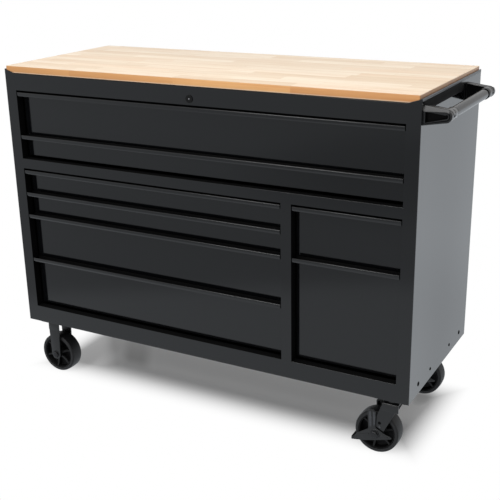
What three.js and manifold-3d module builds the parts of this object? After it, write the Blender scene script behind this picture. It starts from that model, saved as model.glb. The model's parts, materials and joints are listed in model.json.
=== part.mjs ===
// Rolling tool cart with a wooden worktop, eight drawers on telescopic slides, a push handle at
// the right end, two rigid casters at the left and two braked swivel casters at the right.
// Millimetres, +Z up. X runs along the cart, the drawer fronts face -Y, the wheels stand on Z = 0
// and the origin is at the middle of the footprint.

import * as THREE from 'three';
import { mergeVertices } from 'three/addons/utils/BufferGeometryUtils.js';
import Module from 'manifold-3d';

const wasm = await Module();
wasm.setup();

// Sheet metal, and the clearance between pieces that are fastened face to face
const sheet = 1.5;
const seam = 0.3;
const overrun = 2;

// Cabinet
const leftBankWidth = 899;
const rightBankWidth = 313;
const mullionWidth = 32;
const postWidth = 38;
const cabinetDepth = 520;
const sillHeight = 54;
const midRailHeight = 31;
const fasciaHeight = 51;
const frameReturn = 25;
const floorSheet = 2;
const floorFlange = 20;
const dividerThickness = 20;
const dividerLap = 14;

// Worktop and the raised edges of the side panels beside it
const worktopThickness = 22;
const edgeRise = 12.5;
const hemWidth = 4;
const hemDepth = 14;
const worktopEndGap = 0.8;

// Drawer fronts: the height from one pull's top edge to the next
const deepTopPitch = 133;
const slimTopPitch = 68.5;
const shallowPitch = 72.5;
const mediumPitch = 147;
const deepPitch = 162.5;
const openingTopGap = 4.5;
const openingBottomGap = 7;
const frontRecess = 27;
const frontSideGap = 5;
const stackGap = 3;

// Drawer boxes
const boxWall = 1.2;
const boxFloorRise = 4;
const boxRimDrop = 6;
const boxRearGap = 52;

// Pulls, full-width channels whose front lip lies in the plane of the frame
const pullHeight = 14;
const pullLip = 2.5;
const pullEndGap = 1.5;

// Telescopic slides
const slideSpace = 13;
const slideHeight = 40;
const slideWall = 1.5;
const slidePlay = 0.5;
const slideRise = 8;
const slideFrontGap = 13;
const slideRearGap = 52;
const uprightWidth = 40;
const uprightTopGap = 6;

// Lock
const lockRise = 17.5;
const lockRadius = 9.5;
const lockClearance = 0.3;
const bezelLip = 1.5;
const bezelThickness = 2;
const lockLength = 22;
const camWidth = 9;
const camThickness = 2;
const keySlotWidth = 2;
const keySlotLength = 8;
const keySlotDepth = 5;

// Push handle on the right side panel
const handleFrontGap = 6;
const handleLength = 396;
const handleReach = 74;
const handleTopDrop = 4;
const bracketThickness = 30;
const bracketBaseHeight = 49;
const bracketNoseDrop = 7;
const bracketNoseWall = 2.5;
const bracketWall = 4;
const bracketPocketDepth = 10;
const bracketChamfer = 7;
const gripRadius = 13.5;
const collarWall = 1.5;
const collarLength = 28;
const gripSocketDepth = 12;

// Casters
const wheelDiameter = 130;
const wheelWidth = 45;
const tyreThickness = 11;
const tyreShoulder = 4;
const rimWall = 5;
const hubRadius = 16;
const hubStandOut = 5;
const webThickness = 12;
const spokeWidth = 6;
const spokeInset = 4;
const spokeCount = 6;
const axleRadius = 6;
const axleClearance = 0.4;
const axleHeadRadius = 10;
const axleHeadThickness = 6;
const forkGap = 6;
const forkPlate = 4;
const swivelForkLength = 48;
const rigidForkLength = 42;
const forkBossRadius = 19;
const mountPlateLength = 100;
const mountPlateWidth = 76;
const mountPlateThickness = 4;
const racewayRadius = 26;
const racewayThickness = 10;
const kingpinRadius = 6;
const kingpinNutRadius = 11;
const kingpinNutThickness = 6;
const wheelTopGap = 28;
const swivelTrail = 41;
const casterFrontGap = 5.5;
const casterRearGap = 54;
const casterLeftGap = 38;
const casterRightGap = 6;

// Brake pedals
const pedalPlate = 3;
const pedalPlay = 0.5;
const pedalTreadGap = 4;
const pedalTreadLength = 7;
const pedalTreadHeight = 10;
const pedalDrop = 28;

// Facet counts of round pieces
const wheelSides = 24;
const tubeSides = 20;
const pinSides = 12;
const noseSteps = 8;
const hexSides = 6;

// Heights and widths that follow from the driving sizes
const casterHeight = wheelDiameter + wheelTopGap + kingpinNutThickness + forkPlate
  + racewayThickness + mountPlateThickness;
const floorBottom = casterHeight;
const lowerOpeningBottom = floorBottom + sillHeight;
const lowerOpeningHeight = openingTopGap + 2 * shallowPitch + mediumPitch + deepPitch + openingBottomGap;
const lowerOpeningTop = lowerOpeningBottom + lowerOpeningHeight;
const upperOpeningBottom = lowerOpeningTop + midRailHeight;
const upperOpeningHeight = openingTopGap + deepTopPitch + slimTopPitch + openingBottomGap;
const upperOpeningTop = upperOpeningBottom + upperOpeningHeight;
const fasciaTop = upperOpeningTop + fasciaHeight;
const sideTop = fasciaTop + edgeRise;
const innerWidth = leftBankWidth + mullionWidth + rightBankWidth;
const cabinetWidth = innerWidth + 2 * postWidth;
const mullionLeft = postWidth + leftBankWidth;
const mullionRight = mullionLeft + mullionWidth;
const rightPostLeft = cabinetWidth - postWidth;
const backInside = cabinetDepth - sheet - seam;
const slideFront = frameReturn + slideFrontGap;
const slideBack = cabinetDepth - slideRearGap;

const finishes = {
  paint: new THREE.MeshStandardMaterial({ color: 0x1c1d1f, roughness: 0.28, metalness: 0.1 }),
  pull: new THREE.MeshStandardMaterial({ color: 0x242528, roughness: 0.35, metalness: 0.3 }),
  zinc: new THREE.MeshStandardMaterial({ color: 0x8f9296, roughness: 0.35, metalness: 0.9 }),
  wood: new THREE.MeshStandardMaterial({ color: 0xdeb888, roughness: 0.5, metalness: 0 }),
  tyre: new THREE.MeshStandardMaterial({ color: 0x202122, roughness: 0.7, metalness: 0 }),
  fork: new THREE.MeshStandardMaterial({ color: 0x18191a, roughness: 0.4, metalness: 0.3 }),
  grip: new THREE.MeshStandardMaterial({ color: 0x4a4c50, roughness: 0.3, metalness: 0.6 }),
  plastic: new THREE.MeshStandardMaterial({ color: 0x141516, roughness: 0.5, metalness: 0 }),
};

// A closed three.js geometry as a solid that can be joined and cut
function solid(geometry) {
  const bare = geometry.clone();
  bare.deleteAttribute('normal');
  bare.deleteAttribute('uv');
  const merged = mergeVertices(bare);
  return new wasm.Manifold(new wasm.Mesh({
    numProp: 3,
    vertProperties: new Float32Array(merged.attributes.position.array),
    triVerts: new Uint32Array(merged.index.array),
  }));
}

// A box between two opposite corners
function block([x0, y0, z0], [x1, y1, z1]) {
  const geometry = new THREE.BoxGeometry(x1 - x0, y1 - y0, z1 - z0);
  geometry.translate((x0 + x1) / 2, (y0 + y1) / 2, (z0 + z1) / 2);
  return solid(geometry);
}

const xAxis = new THREE.Vector3(1, 0, 0);
const yAxis = new THREE.Vector3(0, 1, 0);
const zAxis = new THREE.Vector3(0, 0, 1);

// An outline extruded by a length, then turned so that its axes lie along the three given ones
function extruded(shape, length, basis) {
  const options = { depth: length, bevelEnabled: false, curveSegments: noseSteps };
  const geometry = new THREE.ExtrudeGeometry(shape, options);
  return geometry.applyMatrix4(new THREE.Matrix4().makeBasis(...basis));
}

// An outline of (x, z) points carried from y0 to y1
function plateAlongY(shape, y0, y1) {
  const geometry = extruded(shape, y1 - y0, [xAxis, zAxis, yAxis.clone().negate()]);
  return solid(geometry.translate(0, y1, 0));
}

// An outline of (y, z) points carried from x0 to x1
function barAlongX(shape, x0, x1) {
  const geometry = extruded(shape, x1 - x0, [yAxis, zAxis, xAxis]);
  return solid(geometry.translate(x0, 0, 0));
}

function outline(points) {
  return new THREE.Shape(points.map(([u, v]) => new THREE.Vector2(u, v)));
}

// The outline of an arm from a round boss to a straight end. Seen from the boss, endA is the
// end's corner on the left and endB the one on the right.
function armOutline([u, v], radius, endA, endB) {
  const turnTo = ([endU, endV], way) => {
    const lean = Math.atan2(endV - v, endU - u);
    return lean + way * Math.acos(radius / Math.hypot(endU - u, endV - v));
  };
  const start = turnTo(endA, 1);
  const finish = turnTo(endB, -1) + 2 * Math.PI;
  const shape = new THREE.Shape();
  shape.moveTo(...endB);
  shape.lineTo(...endA);
  shape.lineTo(u + radius * Math.cos(start), v + radius * Math.sin(start));
  shape.absarc(u, v, radius, start, start + ((finish - start) % (2 * Math.PI)), false);
  return shape;
}

// A round rod along Y or Z that starts at one end's centre
function rodAlongY([x, y, z], radius, length, sides = pinSides) {
  const geometry = new THREE.CylinderGeometry(radius, radius, length, sides);
  geometry.translate(x, y + length / 2, z);
  return solid(geometry);
}

function rodAlongZ([x, y, z], radius, length, sides = pinSides) {
  const geometry = new THREE.CylinderGeometry(radius, radius, length, sides);
  geometry.applyMatrix4(new THREE.Matrix4().makeBasis(xAxis, zAxis, yAxis.clone().negate()));
  geometry.translate(x, y, z + length / 2);
  return solid(geometry);
}

// A closed ring of (radius, y) points turned about the Y axis
function turned(profile, [x, y, z], sides) {
  const points = [...profile, profile[0]].map(([radius, height]) => new THREE.Vector2(radius, height));
  const geometry = new THREE.LatheGeometry(points, sides);
  geometry.translate(x, y, z);
  return solid(geometry);
}

const model = new THREE.Group();

function place(name, body, finish) {
  const { vertProperties, triVerts } = body.getMesh();
  const geometry = new THREE.BufferGeometry();
  geometry.setAttribute('position', new THREE.BufferAttribute(vertProperties, 3));
  geometry.setIndex(new THREE.BufferAttribute(triVerts, 1));
  geometry.computeVertexNormals();
  const mesh = new THREE.Mesh(geometry, finishes[finish]);
  mesh.name = name;
  model.add(mesh);
}

// Openings in the front frame, as [left, bottom, right, top]
const openings = {
  upper: [postWidth, upperOpeningBottom, rightPostLeft, upperOpeningTop],
  left: [postWidth, lowerOpeningBottom, mullionLeft, lowerOpeningTop],
  right: [mullionRight, lowerOpeningBottom, rightPostLeft, lowerOpeningTop],
};

// The front frame is one pressed face whose three openings have returns folded inwards. The top
// corners rise to meet the side panels' raised edges.
function frontFrame() {
  const face = outline([
    [0, floorBottom], [cabinetWidth, floorBottom], [cabinetWidth, sideTop], [rightPostLeft, fasciaTop],
    [postWidth, fasciaTop], [0, sideTop],
  ]);
  let frame = plateAlongY(face, 0, sheet);
  for (const [x0, z0, x1, z1] of Object.values(openings)) {
    frame = frame.add(block([x0 - sheet, 0, z0 - sheet], [x1 + sheet, frameReturn, z1 + sheet]));
  }
  for (const [x0, z0, x1, z1] of Object.values(openings)) {
    frame = frame.subtract(block([x0, -overrun, z0], [x1, frameReturn + overrun, z1]));
  }
  const boreStart = [cabinetWidth / 2, -overrun, upperOpeningTop + lockRise];
  const boreRadius = lockRadius + lockClearance;
  return frame.subtract(rodAlongY(boreStart, boreRadius, sheet + 2 * overrun, tubeSides));
}

// A side panel is a skin with a hem along its top edge, beside the worktop
function sidePanel(outer, inward) {
  const inner = outer + inward * sheet;
  const hem = outer + inward * hemWidth;
  const front = sheet + seam;
  const skin = block(
    [Math.min(outer, inner), front, floorBottom], [Math.max(outer, inner), cabinetDepth, sideTop],
  );
  const edge = block(
    [Math.min(outer, hem), front, sideTop - hemDepth], [Math.max(outer, hem), cabinetDepth, sideTop],
  );
  return skin.add(edge);
}

// The floor is a shallow pan whose flanges stand inside the skins
function floorPan() {
  const x0 = sheet + seam;
  const x1 = cabinetWidth - sheet - seam;
  const y0 = sheet + seam;
  const pan = block([x0, y0, floorBottom], [x1, backInside, floorBottom + floorFlange]);
  const hollow = block(
    [x0 + floorSheet, y0 + floorSheet, floorBottom + floorSheet],
    [x1 - floorSheet, backInside - floorSheet, floorBottom + floorFlange + overrun],
  );
  return pan.subtract(hollow);
}

place('front_frame', frontFrame(), 'paint');
place('side_panel_left', sidePanel(0, 1), 'paint');
place('side_panel_right', sidePanel(cabinetWidth, -1), 'paint');
place('back_panel', block(
  [sheet + seam, cabinetDepth - sheet, floorBottom],
  [cabinetWidth - sheet - seam, cabinetDepth, sideTop - hemDepth - seam],
), 'paint');
place('floor_pan', floorPan(), 'paint');
place('top_panel', block(
  [hemWidth + seam, sheet + seam, fasciaTop - sheet],
  [cabinetWidth - hemWidth - seam, backInside, fasciaTop],
), 'paint');
place('worktop', block(
  [hemWidth + worktopEndGap, sheet + seam, fasciaTop + seam],
  [cabinetWidth - hemWidth - worktopEndGap, backInside, fasciaTop + worktopThickness],
), 'wood');

// The centre divider is a flat tube from the floor pan up behind the middle rail
const dividerLeft = (mullionLeft + mullionRight - dividerThickness) / 2;
const dividerRight = dividerLeft + dividerThickness;
const dividerBottom = floorBottom + floorSheet + seam;
const dividerTop = lowerOpeningTop + dividerLap;
const dividerFront = frameReturn + seam;
const dividerBack = backInside - floorSheet - seam;
place('centre_divider', block(
  [dividerLeft, dividerFront, dividerBottom], [dividerRight, dividerBack, dividerTop],
).subtract(block(
  [dividerLeft + sheet, dividerFront + sheet, dividerBottom - overrun],
  [dividerRight - sheet, dividerBack - sheet, dividerTop + overrun],
)), 'paint');

// Drawers from the top of each bank down, by the height from one pull's top edge to the next. The
// last drawer of a bank takes what is left of its opening.
const drawers = [];
const bankPitches = {
  upper: [deepTopPitch],
  left: [shallowPitch, shallowPitch, mediumPitch],
  right: [mediumPitch],
};
for (const [bank, pitches] of Object.entries(bankPitches)) {
  const [left, openingBottom, right, openingTop] = openings[bank];
  let top = openingTop - openingTopGap;
  const fronts = pitches.map((pitch) => {
    const front = { top, bottom: top - pitch };
    top -= pitch;
    return front;
  });
  fronts.push({ top, bottom: openingBottom + openingBottomGap });
  fronts.forEach((front, index) => {
    drawers.push({ name: `${bank}_drawer_${index + 1}`, bank, left, right, ...front });
  });
}

// Members of a telescopic slide, as C sections between a face plane and the drawer's side wall.
// side is 1 where the drawer lies to the right of the face plane and -1 where it lies to the left.
function channel(face, side, [reach0, reach1], webAtFace, halfHeight, middle) {
  const near = face + side * reach0;
  const far = face + side * reach1;
  const bottom = middle - halfHeight;
  const top = middle + halfHeight;
  const whole = block(
    [Math.min(near, far), slideFront, bottom],
    [Math.max(near, far), slideBack, top],
  );
  const hollowNear = near + (webAtFace ? side * slideWall : -side * overrun);
  const hollowFar = far + (webAtFace ? side * overrun : -side * slideWall);
  return whole.subtract(block(
    [Math.min(hollowNear, hollowFar), slideFront - overrun, bottom + slideWall],
    [Math.max(hollowNear, hollowFar), slideBack + overrun, top - slideWall],
  ));
}

const slideStep = slideWall + slidePlay;
const slideMiddle = (drawer) => drawer.bottom + slideRise + slideHeight / 2;

function cabinetMember(drawer, face, side) {
  const reaches = [0, slideSpace - 2 * slideStep];
  return channel(face, side, reaches, true, slideHeight / 2, slideMiddle(drawer));
}

function middleMember(drawer, face, side) {
  const reaches = [slideStep, slideSpace - slideStep];
  return channel(face, side, reaches, true, slideHeight / 2 - slideStep, slideMiddle(drawer));
}

function drawerMember(drawer, face, side) {
  const reaches = [2 * slideStep, slideSpace + boxWall / 2];
  return channel(face, side, reaches, false, slideHeight / 2 - 2 * slideStep, slideMiddle(drawer));
}

// A rack is two C-shaped uprights against a casing wall, with the cabinet members of every slide
// on that side bridging them
function rack(wall, face, side, top, carried) {
  const back = wall + side * seam;
  let body = null;
  for (const y0 of [slideFront, slideBack - uprightWidth]) {
    const y1 = y0 + uprightWidth;
    const bottom = floorBottom + floorSheet + seam;
    const post = block([Math.min(back, face), y0, bottom], [Math.max(back, face), y1, top]);
    const hollowFace = face - side * slideWall;
    const hollowBack = back - side * overrun;
    const upright = post.subtract(block(
      [Math.min(hollowBack, hollowFace), y0 + slideWall, bottom - overrun],
      [Math.max(hollowBack, hollowFace), y1 - slideWall, top + overrun],
    ));
    body = body ? body.add(upright) : upright;
  }
  for (const drawer of carried) {
    const tie = block(
      [Math.min(face - side * slideWall, face), slideFront, slideMiddle(drawer) - slideHeight / 2],
      [Math.max(face - side * slideWall, face), slideBack, slideMiddle(drawer) + slideHeight / 2],
    );
    body = body.add(tie).add(cabinetMember(drawer, face, side));
  }
  return body;
}

const inBank = (...banks) => drawers.filter((drawer) => banks.includes(drawer.bank));
const sideRackTop = upperOpeningTop - uprightTopGap;
const dividerRackTop = lowerOpeningTop - uprightTopGap;
const panWall = sheet + seam + floorSheet;
const racks = {
  left: [panWall, postWidth, 1, sideRackTop, inBank('upper', 'left')],
  right: [cabinetWidth - panWall, rightPostLeft, -1, sideRackTop, inBank('upper', 'right')],
  divider_left: [dividerLeft, mullionLeft, -1, dividerRackTop, inBank('left')],
  divider_right: [dividerRight, mullionRight, 1, dividerRackTop, inBank('right')],
};
for (const [where, values] of Object.entries(racks)) {
  place(`slide_rack_${where}`, rack(...values), 'zinc');
}

// A drawer box is an open tray behind a wider front sheet, with the slides' drawer members on it
function drawerBox(drawer) {
  const { left, right, top, bottom } = drawer;
  const frontBack = frontRecess + sheet;
  const sheetFront = block(
    [left + frontSideGap, frontRecess, bottom], [right - frontSideGap, frontBack, top - stackGap],
  );
  const x0 = left + slideSpace;
  const x1 = right - slideSpace;
  const rim = top - stackGap - boxRimDrop;
  const floor = bottom + boxFloorRise;
  const rear = cabinetDepth - boxRearGap;
  const tray = block([x0, frontRecess + sheet / 2, floor], [x1, rear, rim]).subtract(block(
    [x0 + boxWall, frontBack + boxWall, floor + boxWall], [x1 - boxWall, rear - boxWall, rim + overrun],
  ));
  return sheetFront.add(tray).add(drawerMember(drawer, left, 1)).add(drawerMember(drawer, right, -1));
}

// A pull is a channel along the top of a front: lip, shelf and a flange on the front sheet
function drawerPull(drawer) {
  const { left, right, top } = drawer;
  const shelf = top - pullHeight;
  const back = frontRecess - seam;
  const section = outline([
    [0, shelf], [back, shelf], [back, top - stackGap], [back - sheet, top - stackGap],
    [back - sheet, shelf + sheet], [pullLip, shelf + sheet], [pullLip, top], [0, top],
  ]);
  return barAlongX(section, left + pullEndGap, right - pullEndGap);
}

for (const drawer of drawers) {
  place(`${drawer.name}_box`, drawerBox(drawer), 'paint');
  place(`${drawer.name}_pull`, drawerPull(drawer), 'pull');
  place(`${drawer.name}_slide_left`, middleMember(drawer, drawer.left, 1), 'zinc');
  place(`${drawer.name}_slide_right`, middleMember(drawer, drawer.right, -1), 'zinc');
}

// The lock cylinder passes through the fascia and carries a short cam behind it
function lockCylinder() {
  const x = cabinetWidth / 2;
  const z = upperOpeningTop + lockRise;
  const camLength = lockRise - sheet - camThickness;
  const barrel = rodAlongY([x, -bezelThickness, z], lockRadius, bezelThickness + lockLength, tubeSides);
  const bezelStart = [x, -bezelThickness - seam, z];
  const bezel = rodAlongY(bezelStart, lockRadius + bezelLip, bezelThickness, tubeSides);
  const cam = block(
    [x - camLength, lockLength - camThickness, z - camWidth / 2],
    [x, lockLength, z + camWidth / 2],
  );
  const slot = block(
    [x - keySlotWidth / 2, -bezelThickness - overrun, z - keySlotLength / 2],
    [x + keySlotWidth / 2, -bezelThickness + keySlotDepth, z + keySlotLength / 2],
  );
  return barrel.add(bezel).add(cam).subtract(slot);
}
place('lock_cylinder', lockCylinder(), 'zinc');

// A handle bracket tapers from its base on the side panel to a round nose. Its outer face is
// hollowed, its top outer edge is bevelled, and a collar on its inner face holds the grip.
const noseRadius = gripRadius + bracketNoseWall;
const handleTop = fasciaTop - handleTopDrop;
const noseX = cabinetWidth + handleReach - noseRadius;
const noseZ = handleTop - bracketNoseDrop - noseRadius;
const gripFront = handleFrontGap + bracketThickness;
const gripBack = handleFrontGap + handleLength - bracketThickness;

function bracketOutline(inset) {
  const base = cabinetWidth + seam + inset;
  const radius = noseRadius - inset;
  const shape = new THREE.Shape();
  shape.moveTo(base, handleTop - bracketBaseHeight + inset);
  shape.lineTo(noseX, noseZ - radius);
  shape.absarc(noseX, noseZ, radius, -Math.PI / 2, Math.PI / 2, false);
  shape.lineTo(base, handleTop - inset);
  return shape;
}

// A solid of a bracket between two places along Y, in either order
function bracketSlice(inset, yA, yB) {
  return plateAlongY(bracketOutline(inset), Math.min(yA, yB), Math.max(yA, yB));
}

// A rod on the grip's axis between two places along Y, in either order
function gripRod(radius, yA, yB) {
  return rodAlongY([noseX, Math.min(yA, yB), noseZ], radius, Math.abs(yB - yA), tubeSides);
}

// outerY is the bracket's outer face and inward is the way from it to the grip
function bracket(outerY, inward) {
  const innerY = outerY + inward * bracketThickness;
  const beyondY = outerY - inward * overrun;
  const collarY = innerY + inward * collarLength;
  const bevelY = outerY + inward * bracketChamfer;
  const bevel = barAlongX(outline([
    [beyondY, handleTop - bracketChamfer], [outerY, handleTop - bracketChamfer], [bevelY, handleTop],
    [bevelY, handleTop + overrun], [beyondY, handleTop + overrun],
  ]), cabinetWidth, cabinetWidth + handleReach);
  const collarRadius = gripRadius + seam + collarWall;
  return bracketSlice(0, outerY, innerY)
    .subtract(bracketSlice(bracketWall, beyondY, outerY + inward * bracketPocketDepth))
    .subtract(bevel)
    .add(gripRod(collarRadius, innerY - inward * overrun, collarY))
    .subtract(gripRod(gripRadius + seam, innerY - inward * gripSocketDepth, collarY + inward * overrun));
}

place('handle_bracket_front', bracket(handleFrontGap, 1), 'plastic');
place('handle_bracket_rear', bracket(handleFrontGap + handleLength, -1), 'plastic');
const gripStart = gripFront - gripSocketDepth + seam;
const gripEnd = gripBack + gripSocketDepth - seam;
place('handle_grip', gripRod(gripRadius, gripStart, gripEnd), 'grip');

// Caster wheels: a tyre on a rim, a web with spokes and a bored hub, turned about Y
const wheelRadius = wheelDiameter / 2;
const rimRadius = wheelRadius - tyreThickness;
const wheelInnerRadius = rimRadius - rimWall;
const halfWheel = wheelWidth / 2;
const legInside = halfWheel + forkGap;
const legOutside = legInside + forkPlate;

function wheel([x, y, z]) {
  const halfWeb = webThickness / 2;
  const half = [
    [axleRadius + axleClearance, halfWheel + hubStandOut],
    [hubRadius, halfWheel + hubStandOut],
    [hubRadius, halfWeb],
    [wheelInnerRadius, halfWeb],
    [wheelInnerRadius, halfWheel - tyreShoulder / 2],
    [rimRadius, halfWheel],
    [wheelRadius - tyreShoulder, halfWheel],
    [wheelRadius, halfWheel - tyreShoulder],
  ];
  const mirrored = half.map(([radius, height]) => [radius, -height]);
  let body = turned([...mirrored, ...half.toReversed()], [x, y, z], wheelSides);
  const spokeLength = wheelInnerRadius - hubRadius + rimWall;
  for (let spoke = 0; spoke < spokeCount; spoke += 1) {
    const bar = new THREE.BoxGeometry(spokeLength, wheelWidth - 2 * spokeInset, spokeWidth);
    bar.translate((wheelInnerRadius + hubRadius) / 2, 0, 0);
    bar.rotateY((spoke / spokeCount) * 2 * Math.PI);
    bar.translate(x, y, z);
    body = body.add(solid(bar));
  }
  return body;
}

// Two fork legs with the axle and its two hexagon heads. The legs taper from a straight top to the
// round axle boss, and headGap leaves room for a brake pedal's cheeks.
function legsAndAxle([topLeft, topRight, topZ], axleX, y, headGap) {
  const axle = [axleX, wheelRadius];
  const shape = armOutline(axle, forkBossRadius, [topLeft, topZ], [topRight, topZ]);
  const headInside = legOutside + headGap;
  const headOutside = headInside + axleHeadThickness;
  const rodLength = 2 * (headInside + seam);
  const head = (start) => rodAlongY(
    [axleX, start, wheelRadius], axleHeadRadius, axleHeadThickness, hexSides,
  );
  return plateAlongY(shape, y - legOutside, y - legInside)
    .add(plateAlongY(shape, y + legInside, y + legOutside))
    .add(rodAlongY([axleX, y - rodLength / 2, wheelRadius], axleRadius, rodLength))
    .add(head(y - headOutside))
    .add(head(y + headInside));
}

const plateTop = casterHeight - seam;
const plateBottom = casterHeight - mountPlateThickness;

function mountPlate(x, y) {
  return block(
    [x - mountPlateLength / 2, y - mountPlateWidth / 2, plateBottom],
    [x + mountPlateLength / 2, y + mountPlateWidth / 2, plateTop],
  );
}

function rigidFork(x, y) {
  const half = rigidForkLength / 2;
  return mountPlate(x, y).add(legsAndAxle([x - half, x + half, plateBottom + seam], x, y, 0));
}

const racewayBottom = plateBottom - racewayThickness;
const crownTop = racewayBottom - seam;
const crownBottom = crownTop - forkPlate;

// The swivel caster's fixed half: mounting plate, raceway, kingpin and its nut
function swivelPlate(x, y) {
  const nutTop = crownBottom - seam;
  const nutBottom = nutTop - kingpinNutThickness;
  return mountPlate(x, y)
    .add(rodAlongZ([x, y, racewayBottom], racewayRadius, racewayThickness + seam, tubeSides))
    .add(rodAlongZ([x, y, nutBottom + seam], kingpinRadius, plateBottom - nutBottom))
    .add(rodAlongZ([x, y, nutBottom], kingpinNutRadius, kingpinNutThickness, hexSides));
}

function swivelFork(x, y) {
  const half = swivelForkLength / 2;
  const pinHole = rodAlongZ(
    [x, y, crownBottom - overrun], kingpinRadius + axleClearance, forkPlate + 2 * overrun,
  );
  const crown = block(
    [x - half, y - legOutside, crownBottom],
    [x + half, y + legOutside, crownTop],
  ).subtract(pinHole);
  const headGap = pedalPlate + 2 * pedalPlay;
  return crown.add(legsAndAxle([x - half, x + half, crownTop], x - swivelTrail, y, headGap));
}

// The outline of a brake pedal's cheek from the upper corner of its tread, clockwise: the blade's
// top, the arm that reaches up beside the tyre, the blade's right tip and its lower edge. As
// shares of the wheel's radius, from the axle.
const pedalOutlineShares = [
  [-0.77, -0.12], [-0.36, 0.1], [-0.44, 1.02], [-0.37, 1.12], [-0.08, 1.15], [0.03, 1.06],
  [0.04, 0.25], [0.25, 0.07], [0.75, 0.05], [0.75, -0.02], [0.35, -0.2], [0, -0.3], [-0.45, -0.42],
];

// A brake pedal has two cheeks that turn on the axle outside the fork, joined by a foot tread
// just past the tyre
function brakePedal(axleX, y) {
  const treadX = axleX - Math.sqrt((wheelRadius + pedalTreadGap) ** 2 - pedalDrop ** 2);
  const treadTop = wheelRadius - pedalDrop + pedalTreadHeight / 2;
  const treadBottom = treadTop - pedalTreadHeight;
  const shape = outline([
    [treadX, treadBottom], [treadX, treadTop],
    ...pedalOutlineShares.map(([along, up]) => [
      axleX + along * wheelRadius, wheelRadius + up * wheelRadius,
    ]),
  ]);
  const near = legOutside + pedalPlay;
  const far = near + pedalPlate;
  const axleHole = rodAlongY(
    [axleX, y - far - overrun, wheelRadius], axleRadius + axleClearance, 2 * (far + overrun),
  );
  const tread = block(
    [treadX - pedalTreadLength, y - far, treadBottom],
    [treadX + seam, y + far, treadTop],
  );
  return plateAlongY(shape, y - far, y - near)
    .add(plateAlongY(shape, y + near, y + far))
    .subtract(axleHole)
    .add(tread);
}

const wheelYs = {
  front: casterFrontGap + mountPlateWidth / 2,
  rear: cabinetDepth - casterRearGap - mountPlateWidth / 2,
};
const rigidX = casterLeftGap + mountPlateLength / 2;
const kingpinX = cabinetWidth - casterRightGap - mountPlateLength / 2;
const swivelAxleX = kingpinX - swivelTrail;
for (const [row, y] of Object.entries(wheelYs)) {
  place(`rigid_caster_${row}_fork`, rigidFork(rigidX, y), 'fork');
  place(`rigid_caster_${row}_wheel`, wheel([rigidX, y, wheelRadius]), 'tyre');
  place(`swivel_caster_${row}_plate`, swivelPlate(kingpinX, y), 'fork');
  place(`swivel_caster_${row}_fork`, swivelFork(kingpinX, y), 'fork');
  place(`swivel_caster_${row}_wheel`, wheel([swivelAxleX, y, wheelRadius]), 'tyre');
  place(`swivel_caster_${row}_brake_pedal`, brakePedal(swivelAxleX, y), 'plastic');
}

// The cart's own frame: origin on the ground, under the middle of the whole cart
const cart = new THREE.Group();
const extent = new THREE.Box3().setFromObject(model);
const middle = extent.getCenter(new THREE.Vector3());
model.position.set(-middle.x, -middle.y, -extent.min.z);
cart.add(model);

export default cart;
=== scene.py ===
"""Looks of the rolling tool cart: black painted cabinet, glued wooden worktop, full-width drawer
pulls, push handle and four casters, in a plain white studio.

Shapes are worked out in millimetres in the cart's own frame and put into the meshes in metres. A
profile is a list of (radius, place along the axis); an outline is a list of corners, (u, v) or
(u, v, own rounding).
"""

import json
import math

import bmesh
import bpy
import numpy as np
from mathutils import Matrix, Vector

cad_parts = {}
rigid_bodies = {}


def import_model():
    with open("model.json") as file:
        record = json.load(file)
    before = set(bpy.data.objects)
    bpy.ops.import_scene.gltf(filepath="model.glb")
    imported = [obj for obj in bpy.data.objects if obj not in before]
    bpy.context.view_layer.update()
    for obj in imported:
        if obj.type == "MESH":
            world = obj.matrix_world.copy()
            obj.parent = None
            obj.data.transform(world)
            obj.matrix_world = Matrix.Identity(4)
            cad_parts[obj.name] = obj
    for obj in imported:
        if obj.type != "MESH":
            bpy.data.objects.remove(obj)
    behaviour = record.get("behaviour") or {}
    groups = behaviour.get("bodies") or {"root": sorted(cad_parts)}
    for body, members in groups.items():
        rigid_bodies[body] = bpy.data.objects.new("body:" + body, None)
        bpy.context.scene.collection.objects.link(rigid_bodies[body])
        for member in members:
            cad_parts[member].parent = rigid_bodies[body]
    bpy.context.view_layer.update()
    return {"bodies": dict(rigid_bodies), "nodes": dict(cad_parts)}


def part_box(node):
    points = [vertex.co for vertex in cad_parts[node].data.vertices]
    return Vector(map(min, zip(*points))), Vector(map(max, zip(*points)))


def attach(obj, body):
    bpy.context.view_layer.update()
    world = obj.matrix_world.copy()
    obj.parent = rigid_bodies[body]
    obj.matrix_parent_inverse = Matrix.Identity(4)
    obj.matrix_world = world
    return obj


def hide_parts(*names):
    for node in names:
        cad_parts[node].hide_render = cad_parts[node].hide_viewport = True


bl_info = {
    "name": "Rolling tool cart",
    "version": (1, 0, 0),
    "blender": (4, 5, 0),
    "location": "View3D > Sidebar > Tool cart",
    "description": "Builds the looks of a rolling tool cart around its packed solids",
    "category": "Object",
}

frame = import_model()

DRAWERS = [name for name in frame["bodies"] if "drawer" in name and not name.endswith("slides")]
ROWS = ("front", "rear")
X, Y, Z = 0, 1, 2
ORIGIN = (0, 0, 0)
MM = 0.001
PER_METRE = 1000

# Points nearer than this are one, in metres, and edges sharper than this stay sharp, in degrees:
# on the surfaces that are worked out here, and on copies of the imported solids.
SURFACE_MERGE, SURFACE_CREASE = 2e-6, 35
SOLID_MERGE, SOLID_CREASE, SOLID_LEVEL, BEVEL_ANGLE = 1e-5, 30, 1, 32


def box_mm(node):
    """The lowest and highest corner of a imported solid, in millimetres."""
    low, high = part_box(node)
    return np.array(low) * PER_METRE, np.array(high) * PER_METRE


# ---------------------------------------------------------------- shapes


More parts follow.
